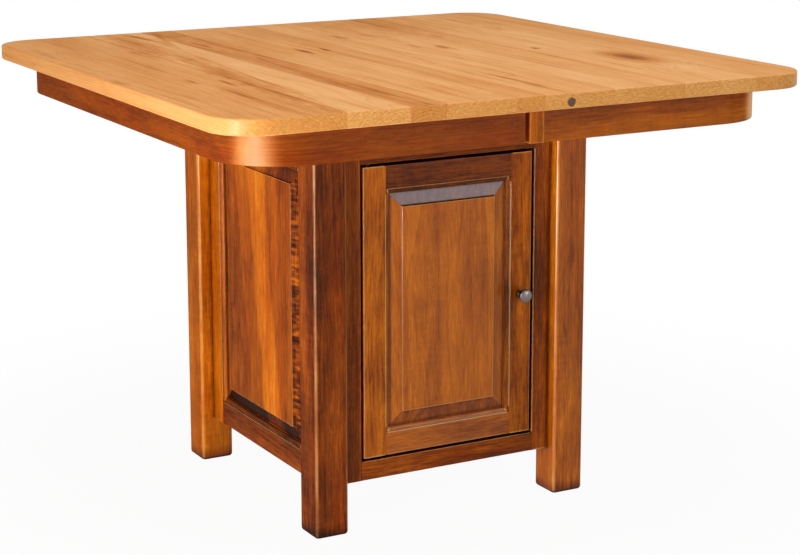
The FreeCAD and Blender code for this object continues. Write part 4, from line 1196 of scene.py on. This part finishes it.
def studio_floor(studio):
    """Pale floor that shows nearly white and keeps the shadow of the table."""
    mesh = bpy.data.meshes.new("floor")
    shape = bmesh.new()
    bmesh.ops.create_circle(shape, cap_ends=True, radius=FLOOR_RADIUS, segments=FLOOR_SIDES)
    shape.to_mesh(mesh)
    shape.free()
    floor = bpy.data.objects.new("studio_floor", mesh)
    bpy.context.scene.collection.objects.link(floor)

    material, tree, shader = new_material("studio floor")
    place = place_of(tree)
    cloud = noise(place, (3.0, 3.0, 3.0), detail=3.0)[0]
    shade = fade(cloud, 0.3, 0.7, 0.97, 1.0)
    colour = mix_colour(shade, opaque(BLACK), opaque(studio.floor))
    feed(tree, shader, {"Base Color": colour, "Roughness": 0.9, "Specular IOR Level": 0.0})
    glow = add_node(tree, "Emission", {"Color": opaque(WHITE), "Strength": 1.0})
    glow_share = fade(length_of(place), *GLOW_FADE, studio.floor_glow, 1.0)
    share = calc("MULTIPLY", seen_directly(tree), glow_share)
    both = add_node(tree, "MixShader", {0: share, 1: shader.outputs[0], 2: glow.outputs[0]})
    feed(tree, tree.get_output_node("ALL"), {"Surface": both.outputs[0]})
    mesh.materials.append(material)


def studio_world(studio):
    """World that shows white and gives an even light."""
    world = bpy.data.worlds.new("studio")
    world.use_nodes = True
    tree = world.node_tree
    tree.nodes.clear()
    strength = fade(seen_directly(tree), 0.0, 1.0, studio.ambient, 1.0)
    sky = add_node(tree, "Background", {"Color": opaque(WHITE), "Strength": strength})
    add_node(tree, "OutputWorld", {"Surface": sky.outputs[0]})
    bpy.context.scene.world = world


class Lamp(NamedTuple):
    """Rectangular lamp: its place and the place that it faces, its size and its colour."""

    place: tuple
    target: tuple
    width: float
    height: float
    colour: tuple = WHITE


KEY_LAMP = Lamp((-1.40, -0.93, 0.42), (0.0, 0.0, 0.42), 0.11, 0.76, (1.0, 0.95, 0.84))
SIDE_LAMP = Lamp((-2.6, 0.9, 0.8), (0.0, 0.0, 0.4), 1.4, 1.4, (1.0, 0.95, 0.84))
OVERHEAD_LAMP = Lamp((-0.3, -0.9, 3.4), (0.0, 0.0, 0.4), 2.6, 2.2)
FILL_LAMP = Lamp((2.05, -3.75, 1.05), (0.0, 0.0, 0.4), 1.2, 0.8, (0.82, 0.91, 1.0))


def soft_lamp(name, lamp, power):
    """Add a lamp to the scene."""
    light = bpy.data.lights.new(name, "AREA")
    light.shape = "RECTANGLE"
    light.size = lamp.width
    light.size_y = lamp.height
    light.energy = power
    light.color = lamp.colour
    holder = bpy.data.objects.new(name, light)
    holder.location = lamp.place
    aim = Vector(lamp.target) - Vector(lamp.place)
    holder.rotation_euler = aim.to_track_quat("-Z", "Y").to_euler()
    bpy.context.scene.collection.objects.link(holder)


class TABLE_OT_studio(bpy.types.Operator):
    """Set up the floor, the light and the camera"""

    bl_idname = "kitchen_table.studio"
    bl_label = "Studio"

    def execute(self, context):
        scene = context.scene
        studio = scene.table_studio
        scene.view_settings.view_transform = "Standard"
        studio_floor(studio)
        studio_world(studio)
        soft_lamp("key", KEY_LAMP, studio.key_power)
        soft_lamp("side", SIDE_LAMP, studio.side_power)
        soft_lamp("overhead", OVERHEAD_LAMP, studio.top_power)
        soft_lamp("fill", FILL_LAMP, studio.fill_power)

        camera = bpy.data.cameras.new("camera")
        camera.sensor_width = 36.0
        camera.lens = studio.lens
        camera.shift_x, camera.shift_y = studio.shift
        camera.clip_end = 100.0
        holder = bpy.data.objects.new("camera", camera)
        turn = Matrix.Rotation(studio.camera_turn, 4, "Z")
        dip = Matrix.Rotation(math.pi / 2 - studio.camera_dip, 4, "X")
        roll = Matrix.Rotation(studio.camera_roll, 4, "Z")
        holder.matrix_world = Matrix.Translation(Vector(studio.camera_place)) @ turn @ dip @ roll
        scene.collection.objects.link(holder)
        scene.camera = holder
        return {"FINISHED"}


class TABLE_PT_panel(bpy.types.Panel):
    """Steps of the finish, in order"""

    bl_idname = "TABLE_PT_panel"
    bl_label = "Kitchen Table"
    bl_space_type = "VIEW_3D"
    bl_region_type = "UI"
    bl_category = "Table"

    def draw(self, context):
        column = self.layout.column(align=True)
        for step in STEPS:
            column.operator(step.bl_idname)


SETTINGS = {
    "table_top_finish": TopFinish,
    "table_stain_finish": StainFinish,
    "table_inside_finish": InsideFinish,
    "table_slide_finish": SlideFinish,
    "table_hardware_finish": HardwareFinish,
    "table_studio": Studio,
}
STEPS = (TABLE_OT_top, TABLE_OT_aprons, TABLE_OT_posts, TABLE_OT_face_frame, TABLE_OT_sides, TABLE_OT_back,
         TABLE_OT_door, TABLE_OT_inside, TABLE_OT_fittings, TABLE_OT_slides, TABLE_OT_studio)


def register():
    """Register the settings, the steps and the panel."""
    for name, settings in SETTINGS.items():
        bpy.utils.register_class(settings)
        setattr(bpy.types.Scene, name, PointerProperty(type=settings))
    for step in STEPS:
        bpy.utils.register_class(step)
    bpy.utils.register_class(TABLE_PT_panel)


def unregister():
    """Remove what register added."""
    bpy.utils.unregister_class(TABLE_PT_panel)
    for step in reversed(STEPS):
        bpy.utils.unregister_class(step)
    for name, settings in SETTINGS.items():
        delattr(bpy.types.Scene, name)
        bpy.utils.unregister_class(settings)


def main():
    """Finish the table and set up its studio."""
    register()
    steps = bpy.ops.kitchen_table
    steps.top()
    steps.aprons()
    steps.posts()
    steps.face_frame()
    steps.sides()
    steps.back()
    steps.door()
    steps.inside()
    steps.fittings()
    steps.slides()
    steps.studio()


if __name__ == "__main__":
    main()
